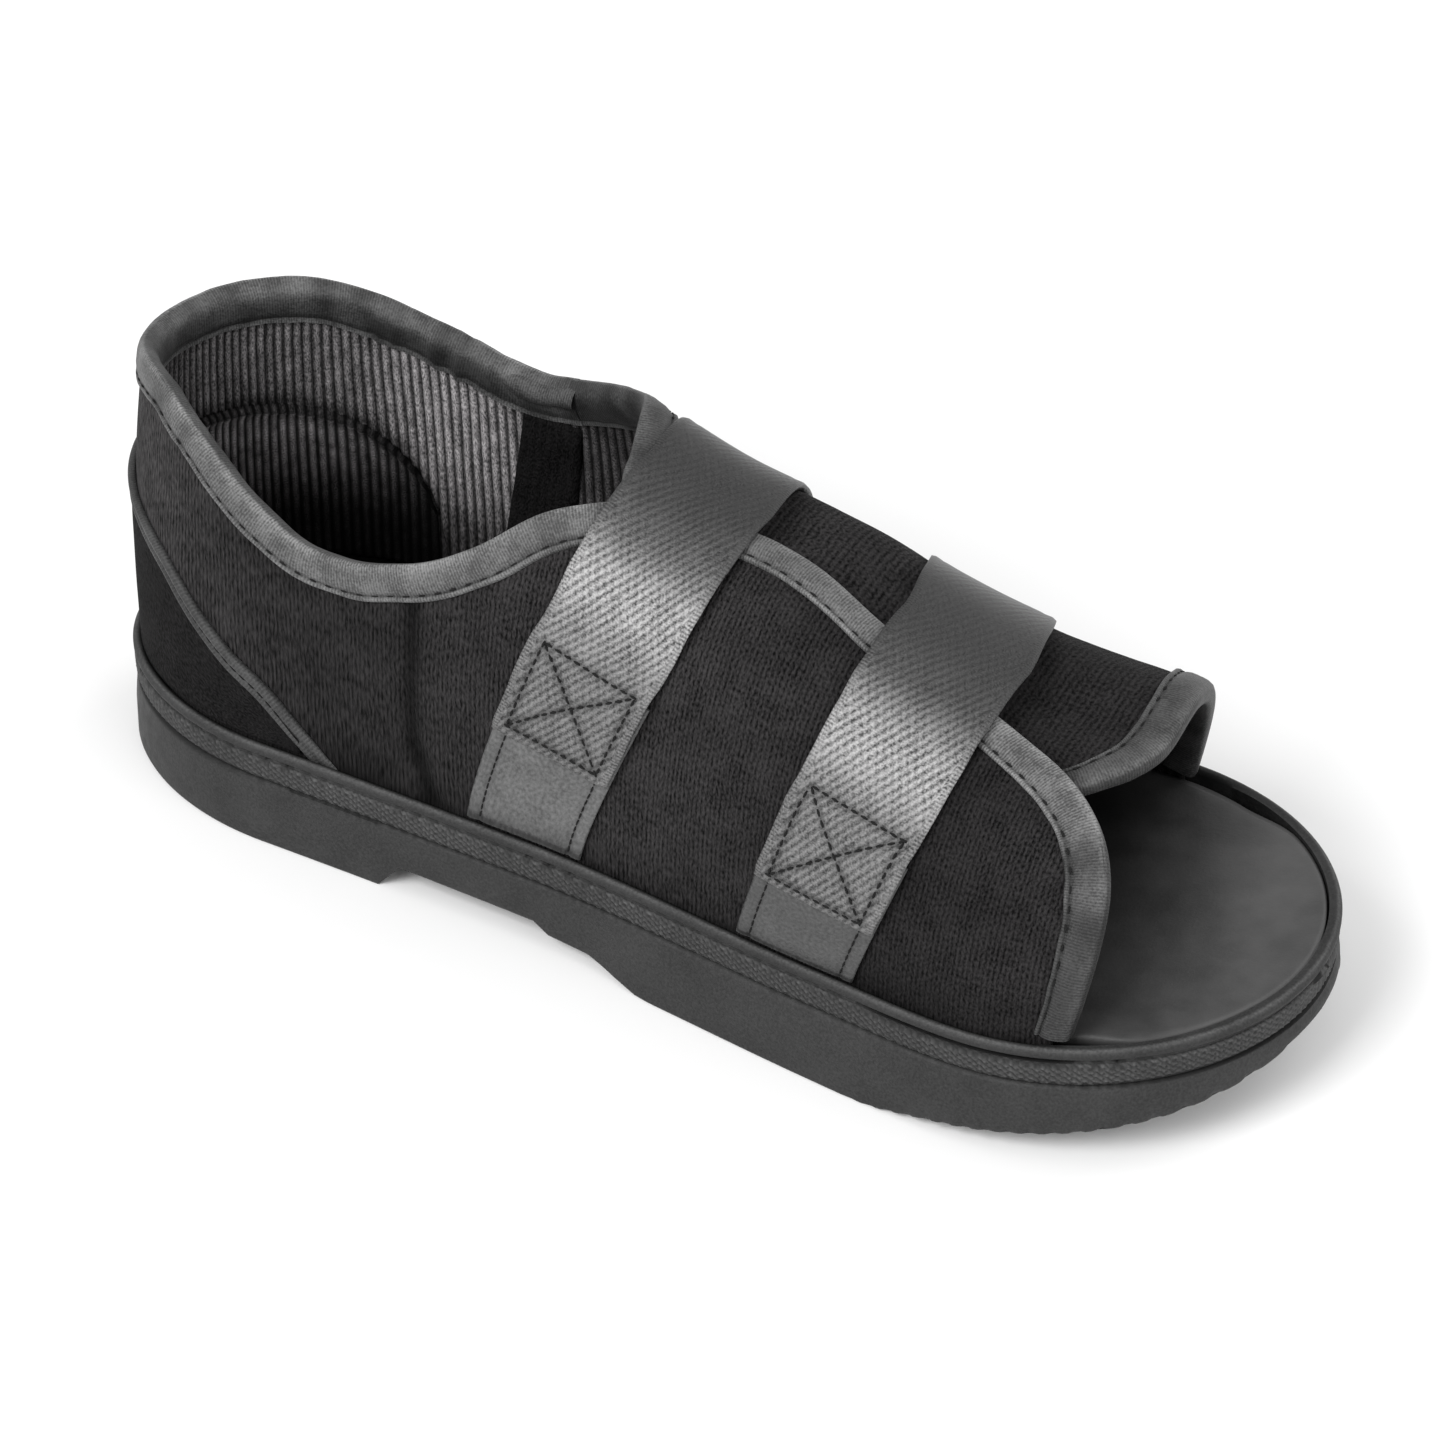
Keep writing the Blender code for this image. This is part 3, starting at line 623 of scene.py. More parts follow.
def grid(columns: int, rows: int, spot: Callable[[int, int], Vector],
         flat: Callable[[int, int], Spot],
         shade: Callable[[int, int], float] | None = None) -> bmesh.types.BMesh:
    """Carry a flat grid onto a surface.

    Args:
        columns: points along the grid.
        rows: points across it.
        spot: place of a point of the grid, by column and row.
        flat: place of the point on the flat cloth.
        shade: tone of the point, mostly painted light and shade, 1 for the finish's own.

    Returns:
        The mesh, with the flat places as its cloth map and the tones as its shade.
    """
    mesh = bmesh.new()
    cloth = mesh.loops.layers.uv.new(CLOTH_MAP)
    tone = mesh.verts.layers.float.new(SHADE)
    bmesh.ops.create_grid(mesh, x_segments=columns - 1, y_segments=rows - 1, size=1.0)
    cells = {}
    for vert in mesh.verts:
        i = round((vert.co.x + 1) / 2 * (columns - 1))
        j = round((vert.co.y + 1) / 2 * (rows - 1))
        cells[vert] = (i, j)
    for face in mesh.faces:
        for loop in face.loops:
            loop[cloth].uv = flat(*cells[loop.vert])
    for vert, (i, j) in cells.items():
        vert.co = spot(i, j)
        vert[tone] = shade(i, j) if shade else 1.0
    mesh.normal_update()
    return mesh


def join(meshes: Sequence[bmesh.types.BMesh]) -> bmesh.types.BMesh:
    """One mesh out of several, which are freed."""
    whole = bmesh.new()
    for mesh in meshes:
        data = bpy.data.meshes.new("part")
        mesh.to_mesh(data)
        mesh.free()
        whole.from_mesh(data)
        bpy.data.meshes.remove(data)
    return whole


def close(mesh: bmesh.types.BMesh) -> None:
    """Merge doubled points, fill what is open and turn the faces outwards."""
    bmesh.ops.remove_doubles(mesh, verts=mesh.verts, dist=0.002 * MM)
    bmesh.ops.dissolve_degenerate(mesh, edges=mesh.edges, dist=0.001 * MM)
    rim = [edge for edge in mesh.edges if edge.is_boundary]
    if rim:
        bmesh.ops.holes_fill(mesh, edges=rim, sides=0)
    bmesh.ops.recalc_face_normals(mesh, faces=mesh.faces)


def turn_outwards(mesh: bmesh.types.BMesh, away_from: Callable[[Vector], Vector]) -> None:
    """Turn an open sheet so that its faces look away from a point given for each."""
    score = sum(
        face.normal.dot(face.calc_center_median() - away_from(face.calc_center_median()))
        for face in list(mesh.faces)[::7]
    )
    if score < 0:
        bmesh.ops.reverse_faces(mesh, faces=mesh.faces)


def inside_of(point: Vector) -> Vector:
    """Point on the foot's axis beside a point of the upper."""
    return Vector((max(-85 * MM, min(110 * MM, point.x)), 0.0, 42 * MM))


@dataclass
class Workshop:
    """Turns meshes into finished pieces of the shoe."""

    finishes: dict[str, bpy.types.Material] = field(default_factory=dict)

    def piece(self, name: str, mesh: bmesh.types.BMesh, finish: Finish,
              replaces: Sequence[str] = (), sharp: float = 50.0,
              thickness: float = 0.0) -> bpy.types.Object:
        """Make a piece that rides on the shoe.

        Args:
            name: the piece's name.
            mesh: its mesh, which is freed.
            finish: its finish.
            replaces: the solids that it stands for.
            sharp: angle in degrees past which an edge is drawn sharp.
            thickness: thickness given to an open sheet, behind its face.

        Returns:
            The piece.
        """
        data = bpy.data.meshes.new(name)
        mesh.normal_update()
        mesh.to_mesh(data)
        mesh.free()
        if finish.name not in self.finishes:
            self.finishes[finish.name] = finish.material()
        data.materials.append(self.finishes[finish.name])
        data.shade_smooth()
        data.set_sharp_from_angle(angle=math.radians(sharp))
        thing = bpy.data.objects.new(name, data)
        bpy.context.scene.collection.objects.link(thing)
        if thickness:
            wall = thing.modifiers.new("wall", "SOLIDIFY")
            wall.thickness = thickness
            wall.offset = -1.0
        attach(thing, BODY)
        if replaces:
            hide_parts(*replaces)
        LOG.info("%s: %d faces", name, len(data.polygons))
        return thing


@dataclass(frozen=True)
class Outsole:
    """Rubber sole: bead, patterned band, groove, heel, arch, rocker toe and tread."""

    arch: float = 6.6 * MM
    rocker: float = 17.6 * MM
    band: float = 6.1 * MM
    band_back: float = 1.3 * MM
    bead: float = 3.0 * MM
    bead_width: float = 2.6 * MM
    bevel: float = 0.8 * MM
    swell: float = 2.2 * MM
    slot: float = 3.0 * MM
    slot_pitch: float = 10.0 * MM
    slot_depth: float = 1.8 * MM
    margin: float = 9.0 * MM
    column: float = 1.05 * MM
    knurl_column: float = 0.46 * MM
    knurl_pitch: float = 2.0 * MM
    knurl_depth: float = 0.50 * MM
    groove_row: int = 9
    dash_row: int = 13
    bead_row: int = 16
    # tones of the bead's rows from its lower face over its crest: painted shade below, a painted
    # highlight on the crest
    bead_light_and_shade: tuple[float, ...] = (0.6, 0.7, 0.8, 1.2, 2.6, 1.0)
    band_rows: int = 12
    dash_pitch: float = 4.6 * MM
    notch_pitch: float = 4.2 * MM
    underside_rows: tuple[tuple[float, float, float], ...] = (
        (0.000, 0.00, 0.00), (0.296, 0.00, 0.00), (0.305, 0.45, 0.00), (0.316, 1.00, 0.00),
        (0.436, 0.94, 0.00), (0.449, 0.60, 0.00), (0.485, 0.52, 0.00), (0.510, 0.20, 0.00),
        (0.530, 0.00, 0.00), (0.727, 0.00, 0.00), (0.778, 0.00, 0.13), (0.836, 0.00, 0.30),
        (0.891, 0.00, 0.46), (0.938, 0.00, 0.63), (0.978, 0.00, 0.84), (1.000, 0.00, 1.00),
    )
    flare: Curve = Curve((
        (0.00, 0.30), (0.12, 0.25), (0.48, 0.10), (0.55, 1.00),
        (0.69, 1.00), (0.80, 0.50), (1.00, 0.30),
    ))

    @cached_property
    def rocker_curve(self) -> Curve:
        """Smooth rise of the rocker."""
        return Curve(tuple((row[0], row[2]) for row in self.underside_rows))

    def underside(self, x: float) -> float:
        """Height of the tread above the floor."""
        share = x / FORM.length
        rows = self.underside_rows
        for (s0, a0, _), (s1, a1, _) in zip(rows, rows[1:]):
            if share <= s1:
                arch = a0 + (a1 - a0) * max(0.0, share - s0) / (s1 - s0)
                return self.arch * arch + self.rocker * self.rocker_curve.at(share)
        return self.rocker

    def slots(self) -> list[float]:
        """Where each slot of the tread begins."""
        share = [row[0] for row in self.underside_rows if row[1] == 0.0]
        heel_end, fore_start = share[1] * FORM.length, share[2] * FORM.length
        starts = []
        x = self.margin + self.slot
        while x + self.slot + self.margin < heel_end:
            starts.append(x)
            x += self.slot_pitch
        x = fore_start + self.margin
        while x + self.slot + self.margin < FORM.length:
            starts.append(x)
            x += self.slot_pitch
        return starts

    def places(self, column: float) -> list[float]:
        """Even places from the heel to the toe, with one at each bend of the underside."""
        count = round(FORM.path_end / column)
        even = steps(0.0, FORM.path_end, count)
        bends = [row[0] * FORM.length for row in self.underside_rows]
        bends = [FORM.place_of(x) for x in bends if FORM.heel_cap < x < FORM.toe_start]
        snapped = list(even)
        for bend in bends:
            nearest = min(range(1, count), key=lambda i: abs(even[i] - bend))
            snapped[nearest] = bend
        return snapped

    def side_rows(self, place: float) -> list[Spot]:
        """Rows of (inset, height) up the side and down inside the bead, at one place."""
        x, _ = FORM.outline(place, 0.0)
        low = self.underside(x)
        rim = FORM.rim(x)
        groove = rim - self.bead - self.band
        side = groove - low
        flare = self.swell * self.flare.at(x / FORM.length)
        foot = self.notch(place, x)
        dash = self.dash(place)
        dip = (1.1 - 0.8 * self.bare(place)) * MM
        rows = [
            (self.bevel - flare, low),
            (0.3 * self.bevel - flare + foot, low + 0.25 * self.bevel),
            (-flare + foot, low + min(0.2 * side, self.bevel)),
        ]
        for share in (0.25, 0.40, 0.55, 0.70, 0.85, 0.93):
            bulge = flare * (1.0 - 0.4 * share / 0.6 if share < 0.6 else 0.6 * (1 - share) / 0.4)
            rows.append((0.3 * MM * ramp(0.5, 0.9, share) - bulge, low + share * side))
        rows += [
            (0.45 * MM, groove - 0.25 * MM),
            (1.25 * MM, groove),
            (1.25 * MM, groove + 0.35 * MM),
            (0.75 * MM, groove + 0.6 * MM),
            (0.75 * MM, rim - self.bead - 0.3 * MM),
            (0.80 * MM + 1.0 * MM * dash, rim - self.bead),
            (0.80 * MM + 1.0 * MM * dash, rim - self.bead + 0.70 * MM),
            (0.25 * MM, rim - 0.68 * self.bead),
            (0.0, rim - 0.54 * self.bead),
            (0.0, rim - 0.36 * self.bead),
            (0.10 * self.bead_width, rim - 0.16 * self.bead),
            (0.28 * self.bead_width, rim - 0.02 * self.bead),
            (0.50 * self.bead_width, rim + 0.10 * MM),
            (0.74 * self.bead_width, rim - 0.25 * MM),
            (self.bead_width, rim - dip),
            (self.bead_width, rim - FORM.tray_depth),
        ]
        return rows

    def bare(self, place: float) -> float:
        """1 round the open toe, where no cloth stands inside the bead."""
        return ramp(0.76, 0.82, abs(place) / FORM.path_end)

    def notch(self, place: float, x: float) -> float:
        """How far the tread's fine ends bite into the lower edge of the forefoot."""
        wave = 0.5 + 0.5 * math.sin(2 * math.pi * x / self.notch_pitch)
        return 0.7 * MM * wave**3 * ramp(0.66, 0.72, abs(place) / FORM.path_end)

    def dash(self, place: float) -> float:
        """Depth share of the broken line under the bead, also the strength of its painted shade."""
        turn = abs(place) / self.dash_pitch
        wave = math.sin(2 * math.pi * turn + 0.8 * math.sin(turn * 1.3))
        strength = 0.55 + 0.75 * roll(Vector((place, 0, 0)), 22 * MM, 3.0)
        slit = ramp(0.66, 0.70, abs(place) / FORM.path_end)
        slit *= 1 - ramp(0.80, 0.83, abs(place) / FORM.path_end)
        slit *= 1.0 if place < 0 else 0.0
        strength *= 1 - ramp(0.83, 0.88, abs(place) / FORM.path_end)
        return max(ramp(-0.25, 0.2, wave) * max(0.0, min(1.0, strength)), slit)

    def groove(self, place: float) -> float:
        """Darkness of the painted shade in the line under the band: solid at heel and toe, broken
        between.
        """
        share = abs(place) / FORM.path_end
        ends = 1 - ramp(0.16, 0.26, share) + ramp(0.80, 0.90, share)
        turn = abs(place) / (0.6 * self.dash_pitch)
        wave = math.sin(2 * math.pi * turn + 1.1 * math.sin(turn * 0.9))
        fade = 0.6 + 0.5 * roll(Vector((place, 0, 0)), 25 * MM, 8.0)
        return min(1.0, ends + ramp(-0.2, 0.3, wave) * max(0.15, fade))

    def body(self) -> bmesh.types.BMesh:
        """Side wall, bead, tray and tread as one closed mesh."""
        half = self.places(self.column)
        ring = [-place for place in reversed(half)] + half[1:]
        sections = [self.side_rows(place) for place in ring]
        count = len(sections[0])

        def side_spot(i: int, j: int) -> Vector:
            """Point of the side wall."""
            inset, z = sections[i][j]
            x, y = FORM.outline(ring[i], inset)
            return Vector((x - FORM.length / 2, y, z))

        def flat(i: int, j: int) -> Spot:
            """Place of the point on the flat material."""
            return ring[i], j * MM

        def shade(i: int, j: int) -> float:
            """Tone of the point: painted shade in the groove, the broken line and the gap inside the
            bead, and painted light and shade on the bead.
            """
            if j < self.groove_row or j == count - 1:
                return 1.0
            if j < self.dash_row:
                return 1.0 - 0.85 * self.groove(ring[i])
            if j < self.bead_row:
                return 1.0 - 0.97 * self.dash(ring[i])
            if j < self.bead_row + len(self.bead_light_and_shade):
                return self.bead_light_and_shade[j - self.bead_row]
            return 0.05 + 0.9 * self.bare(ring[i])

        wall = grid(len(ring), count, side_spot, flat, shade)
        return join([wall, self.floor(half, 0, self.tread), self.floor(half, count - 1, None)])

    def floor(self, half: list[float], row: int,
              relief: Callable[[float, float, float], float] | None) -> bmesh.types.BMesh:
        """Sheet across the sole between matching points of one row of its two sides."""
        across = steps(-1.0, 1.0, 40 if relief else 6)
        rows = [self.side_rows(place)[row] for place in half]

        def spot(i: int, j: int) -> Vector:
            """Point of the surface."""
            inset, z = rows[i]
            x, y = FORM.outline(half[i], inset)
            rise = relief(x, y * across[j], abs(y)) if relief else 0.0
            return Vector((x - FORM.length / 2, y * across[j], z + rise))

        def flat(i: int, j: int) -> Spot:
            """Place of the point on the flat material."""
            return half[i], across[j] * HALF_SOLE

        return grid(len(half), len(across), spot, flat)

    def tread(self, x: float, y: float, reach: float) -> float:
        """Depth of the tread's slots and fine ribs at a point of the underside."""
        inside = reach - abs(y)
        deep = 0.0
        heel = x < 0.3 * FORM.length
        margin = self.margin if heel else 2.5 * MM
        for start in self.slots():
            into = min(x - start, start + self.slot - x)
            if into > -self.column:
                deep = max(deep, ramp(-0.5 * self.column, 0.4 * self.column, into))
        deep *= ramp(margin - 1.2 * MM, margin + 0.8 * MM, inside)
        fine = 0.5 + 0.5 * math.sin(2 * math.pi * (x + 3 * MM * math.sin(y / (7 * MM))) / (3.3 * MM))
        fine *= ramp(2.5 * MM, 4 * MM, inside) * 0.35 * MM * (1 - deep)
        return self.slot_depth * deep + fine

    def knurl(self, place: float, height: float) -> float:
        """Height share of the band's moulded pattern: diamonds, or upright ribs round the toe."""
        along = abs(place)
        a = along / self.knurl_pitch
        b = height / (0.72 * self.knurl_pitch)
        one = abs(2 * ((a + b) % 1.0) - 1)
        two = abs(2 * ((a - b) % 1.0) - 1)
        diamond = min(one, two) * 1.6
        rib = 0.5 + 0.5 * math.sin(2 * math.pi * along / (1.5 * MM))
        share = place / FORM.path_end
        toe_far = ramp(0.90, 0.97, share)
        heel_back = 1 - ramp(0.10, 0.17, abs(share))
        ribbed = max(toe_far, 0.8 * heel_back, ramp(0.985, 1.0, -share))
        faint = 0.72 + 0.28 * roll(Vector((along, height, 0)), 17 * MM, 5.0)
        smooth = ramp(0.80, 0.83, share) * (1 - ramp(0.88, 0.91, share))
        return (diamond * (1 - ribbed) + rib * ribbed) * faint * (1 - 0.8 * smooth)

    def band_mesh(self) -> bmesh.types.BMesh:
        """The patterned band as a closed strip round the sole."""
        half = steps(0.0, FORM.path_end, round(FORM.path_end / self.knurl_column))
        ring = [-place for place in reversed(half)] + half[1:]
        face = steps(0.0, 1.0, self.band_rows)
        tall = self.band - 0.6 * MM
        back = [(self.band_back, 1.0), (self.band_back, 0.0)]
        rows = [back[1]] + [(0.0, share) for share in face] + back
        last = len(face)

        def broken(i: int, share: float) -> float:
            """Strength of the broken line at either edge of the band."""
            upper = ramp(0.80, 0.88, share) * self.dash(ring[i])
            return max(upper, (1 - ramp(0.10, 0.18, share)) * self.groove(ring[i]))

        def spot(i: int, j: int) -> Vector:
            """Point of the surface."""
            inset, share = rows[j]
            x_edge, _ = FORM.outline(ring[i], 0.0)
            low = FORM.rim(x_edge) - self.bead - self.band + 0.55 * MM
            if 1 <= j <= last:
                end = min(1.0, 8 * share, 8 * (1 - share))
                inset = 0.62 * MM - 0.2 * MM * end
                inset -= self.knurl_depth * self.knurl(ring[i], share * tall) * end
                inset += 0.35 * MM * broken(i, share)
            x, y = FORM.outline(ring[i], inset)
            return Vector((x - FORM.length / 2, y, low + share * (tall - 0.2 * MM)))

        def flat(i: int, j: int) -> Spot:
            """Place of the point on the flat material."""
            return ring[i], rows[j][1] * tall

        def shade(i: int, j: int) -> float:
            """Tone of the point: painted shade in the pits of the pattern, painted light on its raised
            parts and painted shade in the broken lines at the band's edges.
            """
            share = rows[j][1]
            raised = 0.18 + 1.75 * min(1.0, self.knurl(ring[i], share * tall))
            return raised * (1 - 0.97 * broken(i, share))

        return grid(len(ring), len(rows), spot, flat, shade)

    def build(self, shop: Workshop) -> None:
        """Make the sole's two pieces."""
        rubber = Rubber("moulded_rubber")
        body = self.body()
        close(body)
        shop.piece("sole_body", body, rubber, ["outsole"], sharp=60)
        band = self.band_mesh()
        close(band)
        shop.piece("sole_band", band, Rubber("band_rubber", dark=0.020, light=0.046), sharp=70)


@dataclass(frozen=True)
class Insole:
    """Footbed in the sole's tray, dished for the foot."""

    edge_drop: float = 0.35 * MM
    dish: float = 1.6 * MM
    by_wall: float = 5.7 * MM
    by_bead: float = 3.0 * MM
    round_over: float = 0.55 * MM
    thickness: float = 4.0 * MM
    columns: int = 190
    rows: int = 44

    def edge_distance(self, x: float, y: float, half: float, inset: float) -> float:
        """Way to the footbed's edge, sideways or towards the nearer tip."""
        sideways = half - abs(y)
        round_toe = max(0.0, 1 - (y / (FORM.toe_half - inset)) ** 2)
        ahead = FORM.toe_start + (FORM.toe_cap - inset) * math.sqrt(round_toe) - x
        round_heel = max(0.0, 1 - (y / (FORM.heel_half - inset)) ** 2)
        behind = x - FORM.heel_cap + (FORM.heel_cap - inset) * math.sqrt(round_heel)
        return max(0.0, min(sideways * 1.4 + ahead * 0.05, ahead, behind))

    def build(self, shop: Workshop) -> None:
        """Make the footbed."""
        places = steps(0.0, FORM.path_end, self.columns)
        across = steps(-1.0, 1.0, self.rows)

        def spot(i: int, j: int) -> Vector:
            """Point of the surface."""
            x_edge, _ = FORM.outline(places[i], 0.0)
            share = ramp(0.885 * FORM.length, 0.935 * FORM.length, x_edge)
            inset = self.by_wall + (self.by_bead - self.by_wall) * share
            x, y = FORM.outline(places[i], inset)
            t = across[j]
            edge = FORM.rim(x_edge) - self.edge_drop
            hollow = self.dish * min(1.0, y / FORM.heel_half) * (1 - t * t)
            inside = self.edge_distance(x, y * t, y, inset)
            lip = self.round_over * (1 - ramp(0.0, 1.2 * MM, inside)) ** 2
            worn = 0.25 * MM * roll(Vector((x, y * t, 0)), 30 * MM, 9.0)
            z = edge - hollow - lip + worn * ramp(0.0, 12 * MM, inside)
            return Vector((x - FORM.length / 2, y * t, z))

        def flat(i: int, j: int) -> Spot:
            """Place of the point on the flat material."""
            return places[i], across[j] * HALF_SOLE

        def shade(i: int, j: int) -> float:
            """Painted shade: darkest under the flaps, lightening towards the open toe."""
            x, y = FORM.outline(places[i], 0.0)
            ahead = x + 0.22 * y * across[j]
            return 0.03 + 1.07 * ramp(0.77 * FORM.length, 0.965 * FORM.length, ahead)

        mesh = grid(len(places), len(across), spot, flat, shade)
        bmesh.ops.remove_doubles(mesh, verts=mesh.verts, dist=0.01 * MM)
        turn_outwards(mesh, lambda point: point - Vector((0, 0, 0.1)))
        shop.piece("footbed", mesh, FootbedCover("footbed_cover"), ["insole"], 60, self.thickness)


@dataclass(frozen=True)
class Crease:
    """A soft trough, or ridge where its depth is negative, drawn on the upper.

    Its ends are (share of the length along the edge, rise above the sole), near side negative.
    """

    start: Spot
    end: Spot
    width: float
    depth: float

    def depth_at(self, place: float, rise: float) -> float:
        """Depth of the crease at a spot of the upper."""
        x0, x1 = self.start[0] * FORM.length, self.end[0] * FORM.length
        z0, z1 = self.start[1], self.end[1]
        dx, dz = x1 - x0, z1 - z0
        long2 = dx * dx + dz * dz
        t = ((place - x0) * dx + (rise - z0) * dz) / long2
        held = min(1.0, max(0.0, t))
        away = math.hypot(place - x0 - held * dx, rise - z0 - held * dz)
        if away > 3 * self.width:
            return 0.0
        fade = ramp(-0.15, 0.2, t) * (1 - ramp(0.8, 1.15, t))
        return self.depth * hump(away, self.width) * fade


@dataclass(frozen=True)
class Upper:
    """Outer cloth, ribbed lining and counter pocket of the wrap-over upper."""

    outer_wall: float = 1.0 * MM
    lining_wall: float = 0.9 * MM
    lining_pitch: float = 2.35 * MM
    lining_rib: float = 0.50 * MM
    far_stretch: float = 0.75
    under_tape: float = 1.8 * MM
    quiet_from: float = 6.5 * MM
    quiet_to: float = 16 * MM
    outer_column: float = 1.25 * MM
    outer_rows: int = 58
    lining_column: float = 0.56 * MM
    lining_rows: int = 34
    behind_bead: float = 4.5 * MM
    pocket_end: float = 0.262 * FORM.length
    pocket_columns: int = 300
    pocket_rows: int = 22
    strip_rows: int = 30
    strip_columns: int = 14
    strip_tall: float = 48 * MM
    pocket: Curve = Curve((
        (0.00, 42 * MM), (0.091, 41.5 * MM), (0.138, 40.5 * MM), (0.182, 38.1 * MM),
        (0.215, 34.0 * MM), (0.247, 26.2 * MM), (0.262, 16 * MM), (0.275, 0.0),
    ))
    creases: tuple[Crease, ...] = (
        Crease((-0.402, 54 * MM), (-0.400, 10 * MM), 2.0 * MM, 0.75 * MM),
        Crease((-0.402, 14 * MM), (-0.420, -4 * MM), 2.4 * MM, 0.9 * MM),
        Crease((-0.430, 40 * MM), (-0.425, 2 * MM), 6.0 * MM, -0.5 * MM),
        Crease((-0.150, 58 * MM), (-0.240, 30 * MM), 4.0 * MM, 0.35 * MM),
        Crease((-0.330, 40 * MM), (-0.290, 16 * MM), 6.0 * MM, 0.35 * MM),
        Crease((-0.620, 40 * MM), (-0.600, 6 * MM), 6.0 * MM, 0.4 * MM),
        Crease((-0.700, 44 * MM), (-0.690, 8 * MM), 5.0 * MM, 0.4 * MM),
        Crease((-0.840, 34 * MM), (-0.850, 4 * MM), 5.0 * MM, 0.45 * MM),
        Crease((0.400, 40 * MM), (0.410, 4 * MM), 3.0 * MM, 0.7 * MM),
        Crease((0.640, 46 * MM), (0.620, 6 * MM), 6.0 * MM, 0.5 * MM),
        Crease((0.850, 34 * MM), (0.840, 4 * MM), 5.0 * MM, 0.45 * MM),
    )

    def column(self, side: Side, share: float, ups: Sequence[float]) -> list[Spot]:
        """Spots up one column of a side, share 1 being its front edge."""
        corner = FORM.corner(side)
        x = FORM.heel_cap + (corner - FORM.heel_cap) * share
        top = FORM.top_share(side.value * FORM.place_of(x)) - self.under_tape / RISE
        spots = []
        for up in ups:
            height = top * up
            ahead = abs(FORM.front_place(side, height)) - FORM.place_of(corner) - self.under_tape
            place = side.value * (FORM.place_of(x) + ahead * ramp(0.6, 1.0, share))
            spots.append((place, height))
        return spots

    def columns(self, pitch: float, ups: Sequence[float]) -> list[list[Spot]]:
        """All columns, from the near flap's front round the heel to the far flap's."""
        near = round((FORM.corner(Side.NEAR) - FORM.heel_cap) / pitch)
        far = round((FORM.corner(Side.FAR) - FORM.heel_cap) / pitch)
        heel = round(2 * FORM.heel_arc / pitch)
        spots = [self.column(Side.NEAR, s, ups) for s in steps(1.0, 1 / near, near - 1)]
        for place in steps(-FORM.heel_arc, FORM.heel_arc, heel):
            top = FORM.top_share(place) - self.under_tape / RISE
            spots.append([(place, top * up) for up in ups])
        spots += [self.column(Side.FAR, s, ups) for s in steps(1 / far, 1.0, far - 1)]
        return spots

    def relief(self, place: float, share: float) -> float:
        """How far the outer cloth stands out of its plain form, from folds and fullness."""
        here = FORM.wrap(place, share)
        rise = here.z - FORM.rim(here.x + FORM.length / 2)
        top = FORM.top_share(place)
        quiet = ramp(self.quiet_from, self.quiet_to, (top - share) * 90 * MM)
        corner = FORM.place_of(FORM.corner(Side.NEAR if place < 0 else Side.FAR))
        quiet *= ramp(self.quiet_from, self.quiet_to, corner + 2 * MM - abs(place))
        full = 0.40 * MM * roll(here, 26 * MM, 1.0) + 0.15 * MM * roll(here, 9 * MM, 2.0)
        folds = sum(crease.depth_at(place, rise) for crease in self.creases)
        low = ramp(0.0, 5 * MM, rise)
        return full * quiet * low - (folds * max(quiet, 0.35) if folds > 0 else folds * quiet)

    def cloth_shade(self, place: float, share: float) -> float:
        """Tone of the outer cloth: painted shade in its creases and low down by the sole, paler on the
        heel side.
        """
        here = FORM.wrap(place, share)
        rise = here.z - FORM.rim(here.x + FORM.length / 2)
        folds = sum(crease.depth_at(place, rise) for crease in self.creases[:2])
        along = place / FORM.length
        pale = 1.0 + 0.9 * hump(along + 0.10, 0.10) + 0.25 * hump(along + 0.56, 0.10)
        pale -= 0.30 * hump(along + 0.80, 0.09) + 0.22 * hump(along + 0.33, 0.08)
        pale -= 0.35 * hump(along - 0.84, 0.08)
        mottle = 1.0 + 0.22 * roll(here, 12 * MM, 11.0)
        low = 0.72 + 0.28 * ramp(0.0, 14 * MM, rise)
        return pale * mottle * low * (1 - 0.72 * min(1.0, folds / (0.7 * MM)))

    def outer(self) -> bmesh.types.BMesh:
        """Face of the outer cloth."""
        ups = [-0.03, *steps(0.0, 1.0, self.outer_rows)]
        spots = self.columns(self.outer_column, ups)

        def spot(i: int, j: int) -> Vector:
            """Point of the surface."""
            place, share = spots[i][j]
            if j == 0:
                foot = FORM.wrap(spots[i][1][0], 0.0)
                return foot - Vector((0, 0, self.behind_bead))
            return FORM.wrap(place, share, self.relief(place, share))

        def flat(i: int, j: int) -> Spot:
            """Place of the point on the flat material."""
            place, share = spots[i][j]
            return place * (1.0 if place < 0 else self.far_stretch), share * RISE

        def shade(i: int, j: int) -> float:
            """Tone of the point."""
            return self.cloth_shade(*spots[i][j])

        return grid(len(spots), len(ups), spot, flat, shade)

    def lining(self) -> bmesh.types.BMesh:
        """Face of the lining, its ribs modelled."""
        ups = [-0.03, *steps(0.0, 1.0, self.lining_rows)]
        spots = self.columns(self.lining_column, ups)

        def spot(i: int, j: int) -> Vector:
            """Point of the surface."""
            place, share = spots[i][j]
            if j == 0:
                foot = FORM.wrap(spots[i][1][0], 0.0, -FORM.wall)
                return foot - Vector((0, 0, self.behind_bead))
            here = FORM.wrap(place, share, -FORM.wall)
            rise = here.z - FORM.rim(here.x + FORM.length / 2)
            out = -FORM.wall - self.lining_rib * self.rib(place, rise)
            return FORM.wrap(place, share, out)

        def shade(i: int, j: int) -> float:
            """Tone of the point."""
            place, share = spots[i][j]
            here = FORM.wrap(place, share)
            rise = here.z - FORM.rim(here.x + FORM.length / 2)
            return self.lining_shade(place, rise)

        def flat(i: int, j: int) -> Spot:
            """Place of the point on the flat material."""
            place, share = spots[i][j]
            return place, share * RISE

        return grid(len(spots), len(ups), spot, flat, shade)

